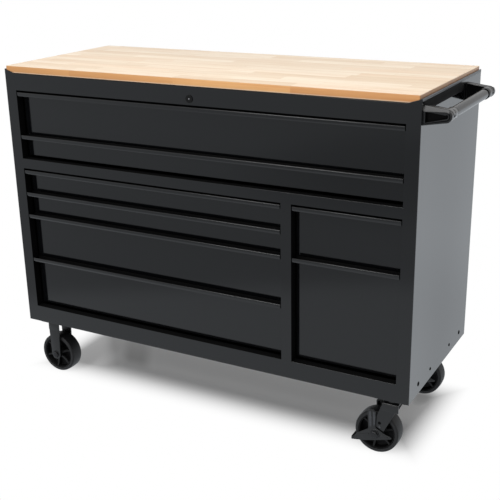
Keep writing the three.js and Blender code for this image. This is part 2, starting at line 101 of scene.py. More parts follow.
class Surface:
    """Points in millimetres and the faces between them, as arrays of corner numbers. Marked faces
    take a piece's second finish."""

    def __init__(self, points, faces, marks=None):
        self.points = np.asarray(points, float).reshape(-1, 3)
        self.faces = faces
        self.marks = marks or [np.zeros(len(face), bool) for face in faces]

    def __add__(self, other):
        shifted = [face + len(self.points) for face in other.faces]
        return Surface(np.vstack([self.points, other.points]), self.faces + shifted,
                       self.marks + other.marks)

    def marked(self, test):
        """Marks the faces whose middle passes the test."""
        marks = [test(self.points[face].mean(axis=1)) for face in self.faces]
        return Surface(self.points, self.faces, marks)

    def moved(self, offset):
        return Surface(self.points + np.asarray(offset, float), self.faces, self.marks)

    def turned(self, axis, degrees):
        """Every point turned about an axis through the origin, by the right-hand rule."""
        u, v = [(Y, Z), (Z, X), (X, Y)][axis]
        cos, sin = math.cos(math.radians(degrees)), math.sin(math.radians(degrees))
        points = self.points.copy()
        points[:, u] = cos * self.points[:, u] - sin * self.points[:, v]
        points[:, v] = sin * self.points[:, u] + cos * self.points[:, v]
        return Surface(points, self.faces, self.marks)

    def mirrored(self, axis, at):
        """Every point put as far beyond the plane at that place as it was before it."""
        points = self.points.copy()
        points[:, axis] = 2 * at - points[:, axis]
        return Surface(points, self.faces, self.marks)


def joined(surfaces):
    """All the surfaces as one."""
    first, *others = surfaces
    return sum(others, first)


def skin(rings, closed=False, marked=()):
    """Quads between neighbouring loops of points. The end loops become faces, or the last loop is
    joined to the first where closed. Marked are the quads that follow the loops so numbered, and
    the end face of a first or last loop so numbered."""
    count, corners = rings.shape[:2]
    index = np.arange(count * corners).reshape(count, corners)
    here, after = (index, np.roll(index, -1, 0)) if closed else (index[:-1], index[1:])
    quads = np.stack([here, np.roll(here, -1, 1), np.roll(after, -1, 1), after], -1)
    ends = [] if closed else [index[:1, ::-1], index[-1:]]
    chosen = np.isin(np.arange(count), list(marked))
    marks = [np.repeat(chosen[:len(quads)], corners)]
    marks += [] if closed else [chosen[:1], chosen[-1:]]
    return Surface(rings, [quads.reshape(-1, 4), *ends], marks)


def upright(flat, axis, places):
    """Loops of two coordinates each as loops of three, with the place along the axis put in."""
    flat = np.asarray(flat, float)
    along = np.broadcast_to(np.asarray(places, float)[:, None, None], (*flat.shape[:2], 1))
    return np.concatenate(
        [along, flat] if axis == X else
        [flat[..., :1], along, flat[..., 1:]] if axis == Y else
        [flat, along], -1)


def eased(corners, radius=None, steps=4):
    """A closed outline with round corners, each by the radius or by its own third number. From A,
    one radius before a corner C, to B, one radius after it, runs (1-t)^2 A + 2t(1-t) C + t^2 B."""
    corners = np.asarray(corners, float)
    if radius is None:
        corners, radius = corners[:, :2], corners[:, 2]
    radius = np.broadcast_to(radius, len(corners))[:, None, None]
    before, after = np.roll(corners, 1, 0) - corners, np.roll(corners, -1, 0) - corners
    before = (before / np.linalg.norm(before, axis=1, keepdims=True))[:, None]
    after = (after / np.linalg.norm(after, axis=1, keepdims=True))[:, None]
    t = np.linspace(0, 1, steps + 1)[None, :, None]
    curve = corners[:, None] + radius * ((1 - t) ** 2 * before + t ** 2 * after)
    return curve.reshape(-1, 2)


def inward(outline):
    """The step from each point of a closed outline that moves both edges at it in by one."""
    edge = np.roll(outline, -1, 0) - outline
    length = np.maximum(np.linalg.norm(edge, axis=1, keepdims=True), 1e-9)
    normal = np.stack([-edge[:, 1], edge[:, 0]], 1) / length
    x, y = outline.T
    if np.sum(x * np.roll(y, -1) - np.roll(x, -1) * y) < 0:
        normal = -normal
    both = normal + np.roll(normal, 1, 0)
    return 2 * both / np.maximum(np.sum(both * both, 1, keepdims=True), 0.8)


def plate(outline, axis, start, end, edge=0.6, steps=3):
    """An outline carried along an axis, with quarter-round rims: the loop at angle t lies
    edge (1 - sin t) inside the outline and edge (1 - cos t) past the end face."""
    t = np.linspace(0, math.pi / 2, steps + 1)
    inside, past = edge * (1 - np.sin(t)), edge * (1 - np.cos(t))
    inside = np.concatenate([inside, inside[::-1]])[:, None, None]
    places = np.concatenate([start + past, (end - past)[::-1]])
    return skin(upright(outline[None] + inside * inward(outline)[None], axis, places))


def board(low, high, corner, edge, axis=Z):
    """A rectangular board between two opposite corners, with round corners and rims."""
    u, v = [w for w in (X, Y, Z) if w != axis]
    corners = [(low[u], low[v]), (high[u], low[v]), (high[u], high[v]), (low[u], high[v])]
    return plate(eased(corners, corner), axis, low[axis], high[axis], edge)


def lathe(profile, axis, centre=ORIGIN, sides=48, closed=False, turn=0):
    """A profile of (radius, place along the axis) turned about it: at angle a a point lies at
    radius (cos a, sin a)."""
    radius, place = np.asarray(profile, float).T
    angle = np.arange(sides) * 2 * math.pi / sides + math.radians(turn)
    u, v = radius[:, None] * np.cos(angle), radius[:, None] * np.sin(angle)
    rings = upright(np.stack([u, v], -1), axis, place)
    return skin(rings + np.asarray(centre, float), closed)


def hex_head(centre, radius, thickness, way, axis=Y, turn=0):
    """A bolt head or nut with six sides, its outer rim and its seat chamfered."""
    profile = [(0.9 * radius, 0), (radius, 0.08 * thickness), (radius, 0.75 * thickness),
               (0.86 * radius, thickness), (0.5 * radius, thickness)]
    turned_profile = [(r, way * p) for r, p in profile]
    return lathe(turned_profile, axis, centre, 6, turn=turn)


def dome_screw(centre, radius, rise, axis, way, turn=20):
    """A pan-head screw. At share s of its radius and angle a its face stands rise sqrt(1 - s^2)
    high, less a cross recess that is 0.45 rise deep where either arm's half width covers it."""
    arm_width, arm_reach, depth, seat = 0.13 * radius, 0.58 * radius, 0.45 * rise, -0.6
    s, a = np.meshgrid(np.linspace(0.04, 1, 12), np.linspace(0, 2 * math.pi, 48, False),
                       indexing="ij")
    u, v = radius * s * np.cos(a), radius * s * np.sin(a)
    inside = np.minimum(np.abs(u), np.abs(v)) < arm_width
    within = np.maximum(np.abs(u), np.abs(v)) < arm_reach
    height = rise * np.sqrt(1 - s ** 2) - depth * (inside & within)
    u, v = np.vstack([u, u[-1:]]), np.vstack([v, v[-1:]])
    height = np.vstack([height, np.full_like(height[:1], seat)])
    rings = np.insert(np.stack([u, v], -1), axis, way * height, axis=-1)
    return skin(rings).turned(axis, turn).moved(centre)


# ---------------------------------------------------------------- pieces


def cleaned(mesh, distance, level=None):
    """Merges points within the distance, joins faces that are level within that many degrees, and
    turns every face outwards."""
    shape = bmesh.new()
    shape.from_mesh(mesh)
    bmesh.ops.remove_doubles(shape, verts=shape.verts, dist=distance)
    if level:
        bmesh.ops.dissolve_limit(
            shape, angle_limit=math.radians(level), verts=shape.verts, edges=shape.edges)
    bmesh.ops.recalc_face_normals(shape, faces=shape.faces)
    shape.to_mesh(mesh)
    shape.free()


def read(items, key, columns=1, kind=float):
    """One property of all points, edges, corners or faces of a mesh, as an array."""
    values = np.empty(len(items) * columns, kind)
    items.foreach_get(key, values)
    return values.reshape(-1, columns) if columns > 1 else values


def put(name, surface, look, body, replaces=(), second=None):
    """A surface as a piece in the finish of that name. Its marked faces take the second one."""
    mesh = bpy.data.meshes.new(name)
    faces = [face for group in surface.faces for face in group.tolist()]
    mesh.from_pydata((surface.points * MM).tolist(), [], faces)
    mesh.polygons.foreach_set("material_index", np.concatenate(surface.marks).astype(np.int32))
    cleaned(mesh, SURFACE_MERGE)
    return fitted(name, mesh, look, body, replaces, SURFACE_CREASE, second)


def fitted(name, mesh, look, body, replaces, crease, second=None):
    """A mesh as a piece, its edges sharper than crease degrees kept sharp. Its faces numbered 1
    take the second finish."""
    mesh.polygons.foreach_set("use_smooth", np.ones(len(mesh.polygons), bool))
    mesh.set_sharp_from_angle(angle=math.radians(crease))
    chosen = read(mesh.polygons, "material_index", kind=np.int32)
    mesh.materials.clear()
    mesh.materials.append(finish(look))
    if second:
        mesh.materials.append(finish(second))
        mesh.polygons.foreach_set("material_index", chosen)
    piece = bpy.data.objects.new(name, mesh)
    bpy.context.scene.collection.objects.link(piece)
    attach(piece, body)
    if replaces:
        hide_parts(*replaces)
    return piece


def face_boxes(mesh):
    """The middle and the size of the box round each face, in millimetres."""
    starts = read(mesh.polygons, "loop_start", kind=np.int32)
    corners = read(mesh.loops, "vertex_index", kind=np.int32)
    points = read(mesh.vertices, "co", 3)[corners] * PER_METRE
    high, low = np.maximum.reduceat(points, starts), np.minimum.reduceat(points, starts)
    return (low + high) / 2, high - low


def edge_weights(mesh, plane, share):
    """A bevel weight for each edge: 1 where it is sharp and lies in the plane y = plane, share
    where it is sharp elsewhere, 0 where its two faces are nearly level."""
    level, near = 0.85, 0.05
    edges = read(mesh.loops, "edge_index", kind=np.int32)
    totals = read(mesh.polygons, "loop_total", kind=np.int32)
    order = np.argsort(edges, kind="stable")
    normals = np.repeat(read(mesh.polygons, "normal", 3), totals, axis=0)[order]
    edges = edges[order]
    sharp = (edges[:-1] == edges[1:]) & (np.sum(normals[:-1] * normals[1:], axis=1) < level)
    weights = np.zeros(len(mesh.edges))
    weights[edges[:-1][sharp]] = share
    ends = read(mesh.edges, "vertices", 2, np.int32)
    depth = read(mesh.vertices, "co", 3)[ends, Y] * PER_METRE
    return np.where((np.abs(depth - plane) < near).all(axis=1) & (weights > 0), 1.0, weights)


def softened(node, look, body, width=0.6, front=None, second=None, test=None):
    """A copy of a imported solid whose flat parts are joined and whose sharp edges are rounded, by
    front in the plane of the front frame where that is given. The faces whose middle and size
    pass the test take the second finish."""
    mesh = frame["nodes"][node].data.copy()
    cleaned(mesh, SOLID_MERGE, SOLID_LEVEL)
    if second:
        mesh.polygons.foreach_set("material_index", test(*face_boxes(mesh)).astype(np.int32))
    piece = fitted(f"{node}_shape", mesh, look, body, (node,), SOLID_CREASE, second)
    bevel = piece.modifiers.new("edges", "BEVEL")
    bevel.width = (front or width) / PER_METRE
    bevel.segments = 3 if front else 2
    bevel.limit_method = "WEIGHT" if front else "ANGLE"
    if front:
        weights = mesh.attributes.new("bevel_weight_edge", "FLOAT", "EDGE")
        plane = box_mm("front_frame")[0][Y]
        weights.data.foreach_set("value", edge_weights(mesh, plane, width / front))
    bevel.angle_limit = math.radians(BEVEL_ANGLE)
    bevel.harden_normals = True
    return piece


# ---------------------------------------------------------------- finishes


class Value:
    """A socket of a material that can stand in sums and products. Each adds a Math node."""

    def __init__(self, shades, socket):
        self.shades = shades
        self.socket = socket

    def math(self, operation, *values):
        """A Math node on the values, in their order."""
        return self.shades.node("ShaderNodeMath", {"operation": operation},
                                dict(enumerate(values)))

    def __add__(self, other):
        return self.math("ADD", self, other)

    def __sub__(self, other):
        return self.math("SUBTRACT", self, other)

    def __rsub__(self, other):
        return self.math("SUBTRACT", other, self)

    def __mul__(self, other):
        return self.math("MULTIPLY", self, other)

    def __truediv__(self, other):
        return self.math("DIVIDE", self, other)

    def __rtruediv__(self, other):
        return self.math("DIVIDE", other, self)

    def __gt__(self, other):
        return self.math("GREATER_THAN", self, other)

    def __lt__(self, other):
        return self.math("LESS_THAN", self, other)

    __radd__ = __add__
    __rmul__ = __mul__

    def floor(self):
        return self.math("FLOOR", self)

    def fract(self):
        return self.math("FRACT", self)

    def distance(self, place):
        return self.math("ABSOLUTE", self - place)

    def most(self, *others):
        """The largest of this value and the others."""
        largest = self
        for other in others:
            largest = self.math("MAXIMUM", largest, other)
        return largest

    def between(self, low, high):
        """0 below low, 1 above high and a smooth step between."""
        return self.shades.node(
            "ShaderNodeMapRange", {"interpolation_type": "SMOOTHSTEP"},
            {"Value": self, "From Min": low, "From Max": high}, "Result")


class Shades:
    """The nodes of one material, floor or world."""

    def __init__(self, owner):
        self.owner = owner
        owner.use_nodes = True
        self.tree = owner.node_tree
        self.tree.nodes.clear()

    def node(self, kind, settings=None, sockets=None, output=0):
        """One node: its settings first, then the values or links of its sockets."""
        made = self.tree.nodes.new(kind)
        for name, value in (settings or {}).items():
            setattr(made, name, value)
        for name, value in (sockets or {}).items():
            if isinstance(value, Value):
                self.tree.links.new(value.socket, made.inputs[name])
            else:
                made.inputs[name].default_value = value
        return Value(self, made.outputs[output]) if made.outputs else made

    def place(self):
        """Object coordinates, in metres."""
        return self.node("ShaderNodeTexCoord", output="Object")

    def parts(self, vector):
        """The three coordinates of a vector."""
        split = self.node("ShaderNodeSeparateXYZ", {}, {0: vector})
        return [Value(self, output) for output in split.socket.node.outputs]

    def vector(self, x, y, z=0.0):
        return self.node("ShaderNodeCombineXYZ", {}, {0: x, 1: y, 2: z})

    def chance(self, **sockets):
        """White noise on a place of one or two numbers."""
        dimensions = "1D" if "W" in sockets else "2D"
        return self.node("ShaderNodeTexWhiteNoise", {"noise_dimensions": dimensions}, sockets)

    def noise(self, where, scale=1.0, detail=2.0, roughness=0.5, stretch=None):
        """Soft noise. Stretch is the scale along each axis, in turns a metre."""
        if stretch:
            where = self.node("ShaderNodeVectorMath", {"operation": "MULTIPLY"},
                              {0: where, 1: stretch})
        return self.node("ShaderNodeTexNoise", {},
                         {"Vector": where, "Scale": scale, "Detail": detail,
                          "Roughness": roughness})

    def mix(self, share, one, other, how="MIX"):
        """The first colour where share is 0 and the second where it is 1."""
        one, other = (c if isinstance(c, Value) else (*c, 1) for c in (one, other))
        return self.node("ShaderNodeMix", {"data_type": "RGBA", "blend_type": how},
                         {0: share, 6: one, 7: other}, 2)

    def layered(self, colour, *layers):
        """A colour with tints laid over it in their order, each by its share."""
        for share, tint in layers:
            colour = self.mix(share, colour, tint)
        return colour

    def bump(self, height, strength, distance=0.0002):
        return self.node("ShaderNodeBump", {},
                         {"Height": height, "Strength": strength, "Distance": distance})

    def surface(self, **sockets):
        """A Principled shader with these sockets, joined to the material's output."""
        named = {name.replace("_", " "): value for name, value in sockets.items()}
        shader = self.node("ShaderNodeBsdfPrincipled", {}, named)
        self.node("ShaderNodeOutputMaterial", {}, {"Surface": shader})
        return self.owner

    def ray(self, kind):
        """1 for rays of that kind, 0 for all others."""
        return self.node("ShaderNodeLightPath", output=f"Is {kind} Ray")

    def mirror_ray(self):
        """1 for rays that come by way of a mirror or a clear body."""
        return self.ray("Glossy").most(self.ray("Transmission"))

    def glow(self, strength, colour=(1, 1, 1)):
        return self.node("ShaderNodeEmission", {}, {"Color": (*colour, 1), "Strength": strength})

    def matt(self, white):
        return self.node("ShaderNodeBsdfDiffuse", {}, {"Color": (white, white, white, 1)})

    def blend(self, share, one, other):
        """The first shader where share is 0 and the second where it is 1."""
        return self.node("ShaderNodeMixShader", {}, {0: share, 1: one, 2: other})


def paint_finish(name, colour, roughness, ior=1.5, peel=0.06):
    """Baked enamel: a faint orange peel, and a slow change of gloss as on wiped sheet metal."""
    shades = Shades(bpy.data.materials.new(name))
    where = shades.place()
    cloud = shades.noise(where, 3.2, 3, 0.6)
    fine = shades.noise(where, 260)
    return shades.surface(
        Base_Color=shades.mix(cloud, colour, [min(1, c * 1.25) for c in colour]),
        Roughness=(cloud - 0.5) * 0.08 + roughness,
        IOR=ior,
        Normal=shades.bump(fine, peel))


def wood_finish(name, look):
    """Glued staves: strips of one width along X, each cut to staggered lengths, every stave with
    its own tone and its own stretched grain; darker, redder varnish below the rim, darker still
    towards the left end, a darker stave there under a painted shade, and at the foot a painted
    highlight line over a painted shadow line. Places and widths are in metres."""
    low, high = (corner * MM for corner in box_mm("worktop"))
    shades = Shades(bpy.data.materials.new(name))
    where = shades.place()
    x, y, z = shades.parts(where)
    across = (y - low[Y]) / look.stave_width
    strip = across.floor()
    along = x / look.stave_length + shades.chance(W=strip) * 7.3
    stave = along.floor()
    tone = shades.chance(Vector=shades.vector(strip * 1.7, stave))
    hue = shades.chance(Vector=shades.vector(stave, strip * 3.1))
    offset = shades.vector(tone * 3.0, tone * 1.3, hue * 2.0)
    own = shades.node("ShaderNodeVectorMath", {"operation": "ADD"}, {0: where, 1: offset})
    grain = shades.noise(own, detail=4, roughness=0.62, stretch=(5.0, 150.0, 150.0))
    pores = shades.noise(own, stretch=(60.0, 1400.0, 1400.0))
    flame = shades.noise(own, stretch=(2.2, 22.0, 22.0))
    glue = 0.00035
    seam = (across.fract().distance(0.5) > 0.5 - glue / look.stave_width).most(
        along.fract().distance(0.5) > 0.5 - glue / look.stave_length)
    face = shades.layered(
        shades.mix(tone.between(0.0, 1.0), look.light_stave, look.dark_stave),
        (hue.between(0.55, 1.0) * 0.5, look.rosy_stave),
        (grain.between(0.42, 0.72) * 0.4, look.grain),
        (flame.between(0.52, 0.78) * 0.24, look.grain),
        (pores.between(0.58, 0.72) * 0.25, look.grain),
        (seam * 0.4, look.seam))
    edge = shades.mix(hue.between(0.0, 1.0), look.edge, look.dark_edge)
    edge = shades.mix(grain.between(0.35, 0.75) * 0.3, edge, look.dark_edge, "MULTIPLY")
    # The left end gets a darker stave and a painted shade; the right end, darker end grain; the
    # foot, a painted highlight line with a painted shadow line below it.
    left_stave_and_shade = 1 - x.between(low[X], low[X] + 0.8)
    right_end = x.between(high[X] - 0.004, high[X] - 0.001)
    painted_highlight_line = 1 - z.between(low[Z] + 0.0024, low[Z] + 0.0048)
    painted_shadow_line = 1 - z.between(low[Z] + 0.0009, low[Z] + 0.0016)
    edge = shades.layered(
        edge, (left_stave_and_shade * 0.9, look.dark_edge), (left_stave_and_shade * 0.22, (0.3, 0.14, 0.045)),
        (right_end * 0.85, (0.42, 0.21, 0.09)), (painted_highlight_line * 0.5, look.light_stave),
        (painted_shadow_line * 0.9, (0.03, 0.014, 0.006)))
    below = 1 - z.between(high[Z] - 0.0022, high[Z] - 0.0004)
    relief = grain * 0.6 + pores * 0.4 - seam * 1.5
    return shades.surface(
        Base_Color=shades.mix(below, face, edge),
        Roughness=grain * 0.15 + 0.3,
        IOR=1.5,
        Normal=shades.bump(relief, 0.12, 0.0004))


def zinc_finish(name, colour, roughness):
    """Zinc plated steel: faint flakes and drawn lines."""
    shades = Shades(bpy.data.materials.new(name))
    where = shades.place()
    flakes = shades.node("ShaderNodeTexVoronoi", {}, {"Vector": where, "Scale": 140.0}, "Color")
    drawn = shades.noise(where, stretch=(30.0, 4.0, 900.0))
    return shades.surface(
        Base_Color=shades.mix(drawn.between(0.3, 0.7), colour, [c * 0.72 for c in colour]),
        Metallic=1.0,
        Roughness=shades.parts(flakes)[0] * 0.12 + roughness,
        Normal=shades.bump(drawn, 0.05))


def moulded_finish(name, colour, roughness, texture, specular=0.5):
    """Moulded rubber or plastic: fine pitted skin, a little uneven in tone."""
    shades = Shades(bpy.data.materials.new(name))
    where = shades.place()
    pits = shades.noise(where, 1500)
    cloud = shades.noise(where, 18, 3)
    return shades.surface(
        Base_Color=shades.mix(cloud, colour, [c * 1.5 for c in colour]),
        Roughness=(cloud - 0.5) * 0.12 + roughness,
        IOR=1.5,
        Specular_IOR_Level=specular,
        Normal=shades.bump(pits, texture))


finishes = {}


def finish(name):
    """The material of that name, made when it is first asked for."""
    if name in finishes:
        return finishes[name]
    scene = bpy.context.scene
    paint, wood, casters, handle = (
        scene.cart_paint, scene.cart_wood, scene.cart_casters, scene.cart_handle)
    maker, *values = {
        "cabinet_paint": (paint_finish, paint.colour, paint.roughness, paint.ior),
        "inner_paint": (paint_finish, paint.colour, 0.4, 1.45, 0.1),
        # The bead's grey is a painted sheen on its black hem.
        "bead_paint": (paint_finish, (0.085, 0.09, 0.097), 0.45),
        "pull_paint": (paint_finish, paint.pull_colour, paint.pull_roughness, paint.ior),
        "grip_paint": (paint_finish, handle.grip, handle.grip_roughness, 1.42, 0.03),
        "caster_paint": (paint_finish, casters.fork, 0.34, 1.5, 0.05),
        "worktop_wood": (wood_finish, wood),
        "zinc_steel": (zinc_finish, paint.zinc, 0.3),
        "lock_metal": (zinc_finish, (0.6, 0.6, 0.62), 0.25),
        "strip_steel": (zinc_finish, (0.1, 0.101, 0.106), 0.4),
        "bolt_steel": (zinc_finish, (0.05, 0.05, 0.052), 0.4),
        # Dull black, for black parts and as a painted shade in recesses, pockets, grooves and
        # holes.
        "recess_black": (moulded_finish, (0.0006, 0.0006, 0.0007), 0.7, 0.1, 0.1),
        "bracket_plastic": (moulded_finish, handle.bracket, handle.bracket_roughness, 0.05),
        "tyre_rubber": (moulded_finish, casters.tyre, 0.55, 0.12, 0.4),
        "tread_rubber": (moulded_finish, casters.tread, 0.5, 0.12, 0.3),
        "wheel_nylon": (moulded_finish, casters.core, 0.6, 0.05, 0.16),
        "spoke_nylon": (moulded_finish, casters.spoke, 0.5, 0.05, 0.28),
        "pedal_plastic": (moulded_finish, casters.pedal, 0.4, 0.05),
        "screw_black": (moulded_finish, (0.0015, 0.0015, 0.0016), 0.5, 0.05, 0.2),
    }[name]
    finishes[name] = maker(name, *values)
    return finishes[name]


# ---------------------------------------------------------------- settings


def number(name, description, default, **more):
    return bpy.props.FloatProperty(name=name, description=description, default=default, **more)


def colour(name, description, default):
    return bpy.props.FloatVectorProperty(
        name=name, description=description, default=default, size=3, min=0, max=1,
        subtype="COLOR")


class CartStage(bpy.types.PropertyGroup):
    lens: number("Lens", "Focal length on a 36 mm sensor, in millimetres", 66.99)
    eye: bpy.props.FloatVectorProperty(
        name="Camera place", description="Where the camera stands",
        default=(1.3276, -2.4058, 1.4167), size=3, subtype="TRANSLATION", unit="LENGTH")
    tilt: bpy.props.FloatVectorProperty(
        name="Camera angles", description="How the camera is turned",
        default=tuple(math.radians(a) for a in (70.591, 0.977, 28.515)), size=3,
        subtype="EULER", unit="ROTATION")
    ambient: number("Ambient", "Strength of the light from all round", 0.368)
    mirrored: number("Mirrored", "Strength of the surroundings in mirrors", 0.8)
    key: number("Key light", "Power of the large lamp above", 165.0, unit="POWER")
    fill: number("Fill light", "Power of the lamp in front", 30.0, unit="POWER")
    side: number("Side light", "Power of the lamp at the right", 2.0, unit="POWER")
    floor_white: number("Floor", "Whiteness of the floor as the camera sees it", 0.88)


class CartPaint(bpy.types.PropertyGroup):
    colour: colour("Enamel", "Cabinet colour", (0.0024, 0.0026, 0.0031))
    roughness: number("Roughness", "Roughness of the cabinet's enamel", 0.1)
    ior: number("Refraction", "Index of refraction of the enamel", 1.5)
    pull_colour: colour("Pulls", "Colour of the drawer pulls", (0.0035, 0.0037, 0.0043))
    pull_roughness: number("Pull roughness", "Roughness of the drawer pulls", 0.2)
    zinc: colour("Zinc", "Colour of the slides", (0.55, 0.56, 0.57))
    rounding: number("Edges", "Rounding of sheet edges, in millimetres", 0.6)
    front_rounding: number("Front edges", "Rounding of the front's folds, in millimetres", 1.5)


class CartWood(bpy.types.PropertyGroup):
    stave_width: number("Stave width", "Width of a glued stave", 0.044, unit="LENGTH")
    stave_length: number("Stave length", "Length of a glued stave", 0.36, unit="LENGTH")
    light_stave: colour("Light stave", "Colour of the lightest staves", (0.9, 0.77, 0.605))
    dark_stave: colour("Dark stave", "Colour of the darkest staves", (0.79, 0.63, 0.455))
    rosy_stave: colour("Rosy stave", "Colour of the redder staves", (0.85, 0.64, 0.45))
    grain: colour("Grain", "Colour of the grain lines", (0.62, 0.36, 0.17))
    seam: colour("Glue line", "Colour between staves", (0.5, 0.3, 0.16))
    edge: colour("Edge", "Colour of the worktop's lighter edge staves", (1.0, 0.6, 0.25))
    dark_edge: colour("Dark edge", "Colour of the darker edge staves", (0.69, 0.33, 0.12))


class CartHandle(bpy.types.PropertyGroup):
    grip: colour("Grip", "Colour of the grip tube", (0.006, 0.0063, 0.007))
    grip_roughness: number("Grip roughness", "Roughness of the grip tube", 0.22)
    bracket: colour("Brackets", "Colour of the handle brackets", (0.003, 0.0031, 0.0034))
    bracket_roughness: number("Bracket roughness", "Roughness of the brackets", 0.18)


class CartCasters(bpy.types.PropertyGroup):
    tyre: colour("Tyre", "Colour of the tyres", (0.009, 0.0093, 0.01))
    tread: colour("Tread", "Colour of the treads", (0.0045, 0.0046, 0.005))
    core: colour("Wheel", "Colour of the wheel inside the tyre", (0.001, 0.001, 0.0011))
    spoke: colour("Spokes", "Colour of the spokes", (0.0022, 0.0022, 0.0024))
    fork: colour("Forks", "Colour of the forks and plates", (0.004, 0.0042, 0.0047))
    pedal: colour("Pedals", "Colour of the brake pedals", (0.004, 0.0042, 0.0046))
    spoke_turn: number("Spoke angle", "Angle of the first spoke",
                       math.radians(20), subtype="ANGLE", unit="ROTATION")


# ---------------------------------------------------------------- operators


class CART_OT_stage(bpy.types.Operator):
    """Camera, white floor, white surroundings and soft lamps"""

    bl_idname = "cart.stage"
    bl_label = "Studio"

    # Each lamp's size, its place and the point that it faces, in metres.
    lamps = {
        "key": ((5.0, 4.0), (0.1, -1.0, 5.0), (0, -0.1, 0)),
        "fill": ((1.3, 0.9), (-0.7, -3.2, 2.3), (0, 0, 0.6)),
        "side": ((2.4, 2.4), (3.0, 0.9, 2.6), (0.6, 0.1, 0)),
    }
    floor_reach = 20.0

    def execute(self, context):
        look = context.scene.cart_stage
        view = bpy.data.cameras.new("camera")
        view.lens = look.lens
        view.sensor_width = 36
        view.clip_start, view.clip_end = 0.05, 100
        camera = bpy.data.objects.new("camera", view)
        camera.location = look.eye
        camera.rotation_euler = look.tilt
        context.scene.collection.objects.link(camera)
        context.scene.camera = camera
        context.scene.view_settings.view_transform = "Standard"
        self.floor(context, look)
        self.surroundings(context, look)
        for name, (size, place, target) in self.lamps.items():
            self.lamp(context, name, getattr(look, name), size, place, target)
        return {"FINISHED"}

    def lamp(self, context, name, power, size, place, target):
        light = bpy.data.lights.new(name, "AREA")
        light.shape = "RECTANGLE"
        light.size, light.size_y = size
        light.energy = power
        lamp = bpy.data.objects.new(name, light)
        lamp.location = place
        x, y, z = np.array(target) - np.array(place)
        lamp.rotation_euler = (
            math.atan2(math.hypot(x, y), -z), 0, math.atan2(y, x) - math.pi / 2)
        context.scene.collection.objects.link(lamp)

    def floor(self, context, look):
        """A plane that the camera sees shaded under the cart, with painted shadows and a painted
        lift of the shade there, and plain white beyond it; mirrors see it as a painted glow in the
        tones of the surroundings."""
        shades = Shades(bpy.data.materials.new("floor"))
        x, y, _ = shades.parts(shades.place())
        reach = self.floor_reach
        mesh = bpy.data.meshes.new("floor")
        mesh.from_pydata([(-reach, -reach, 0), (reach, -reach, 0), (reach, reach, 0),
                          (-reach, reach, 0)], [], [(0, 1, 2, 3)])
        near = shades.blend(shades.ray("Camera"), shades.matt(0.85), shades.blend(
            self.darkened(x, y), shades.matt(look.floor_white), shades.matt(0)))
        seen = shades.blend(shades.ray("Camera") * self.whitened(x, y), near, shades.glow(1.0))
        mirrored = shades.glow(self.mirrored(x, y), (0.93, 0.98, 1.03))
        whole = shades.blend(shades.mirror_ray(), seen, mirrored)
        shades.node("ShaderNodeOutputMaterial", {}, {"Surface": whole})
        mesh.materials.append(shades.owner)
        ground = bpy.data.objects.new("floor", mesh)
        context.scene.collection.objects.link(ground)

    def whitened(self, x, y):
        """1 beyond the cart's outline, where the floor is plain white; a little at its back and
        left, a painted light that lifts the shadow under the cart; 0 under the rest. Places are in
        metres, here and below."""
        right, left = x.between(0.54, 0.665), (0 - x).between(0.6, 0.74)
        before_or_behind = y.distance(0.0).between(0.1, 0.27)
        back = y.between(-0.16, 0.12) * 0.15
        left_front = (0 - x - y * 0.6).between(0.51, 0.62) * 0.22
        return before_or_behind.most(right, left, back, left_front)

    def darkened(self, x, y):
        """Two painted shadows: inside the left front wheel, and at the foot of the right rear one,
        where it fades with the square of the distance."""
        leaving = 0 - x - y * 0.6
        strip = leaving.between(0.38, 0.44) * (1 - leaving.between(0.48, 0.53))
        strip = strip * y.between(-0.12, -0.04) * 0.42
        dx, dy = x - 0.54, y * 0.5 - 0.065
        foot = 1 - (dx * dx + dy * dy).between(0.0, 0.0011)
        return strip.most(foot * 0.62)

    def mirrored(self, x, y):
        """How bright a mirror sees the floor, as a painted glow: dim before the cart, bright
        beside it.
        """
        beside = (x * 0.8 + y * 0.6).between(-0.1, 0.9)
        close = (y + x * 0.6).between(-1.56, -1.26)
        leftwards = (0 - x).between(-0.8, 4.0)
        # dusk is a painted dim patch in the glow and flare a painted bright band.
        dx, dy = x + 0.4, y + 3.3
        dusk = 1 - (dx * dx + dy * dy).between(0.2, 1.6)
        before = close * 0.24 + leftwards * 0.1 - dusk * 0.12 + 0.54
        flare = ((x + 0.08) / (y + 2.41)).between(0.285, 0.335)
        far = y.between(0.7, 1.8)
        return before * (1 - beside) + beside * (flare * 0.24 + far * 0.12 + 0.84)

    def surroundings(self, context, look):
        """White for the camera, softer in mirrors and softest for the light it gives."""
        world = bpy.data.worlds.new("studio")
        context.scene.world = world
        shades = Shades(world)
        seen = shades.ray("Camera")
        unseen = shades.mirror_ray() * (look.mirrored - look.ambient) + look.ambient
        back = shades.node("ShaderNodeBackground", {},
                           {"Color": (1, 1, 1, 1), "Strength": seen + (1 - seen) * unseen})
        shades.node("ShaderNodeOutputWorld", {}, {"Surface": back})


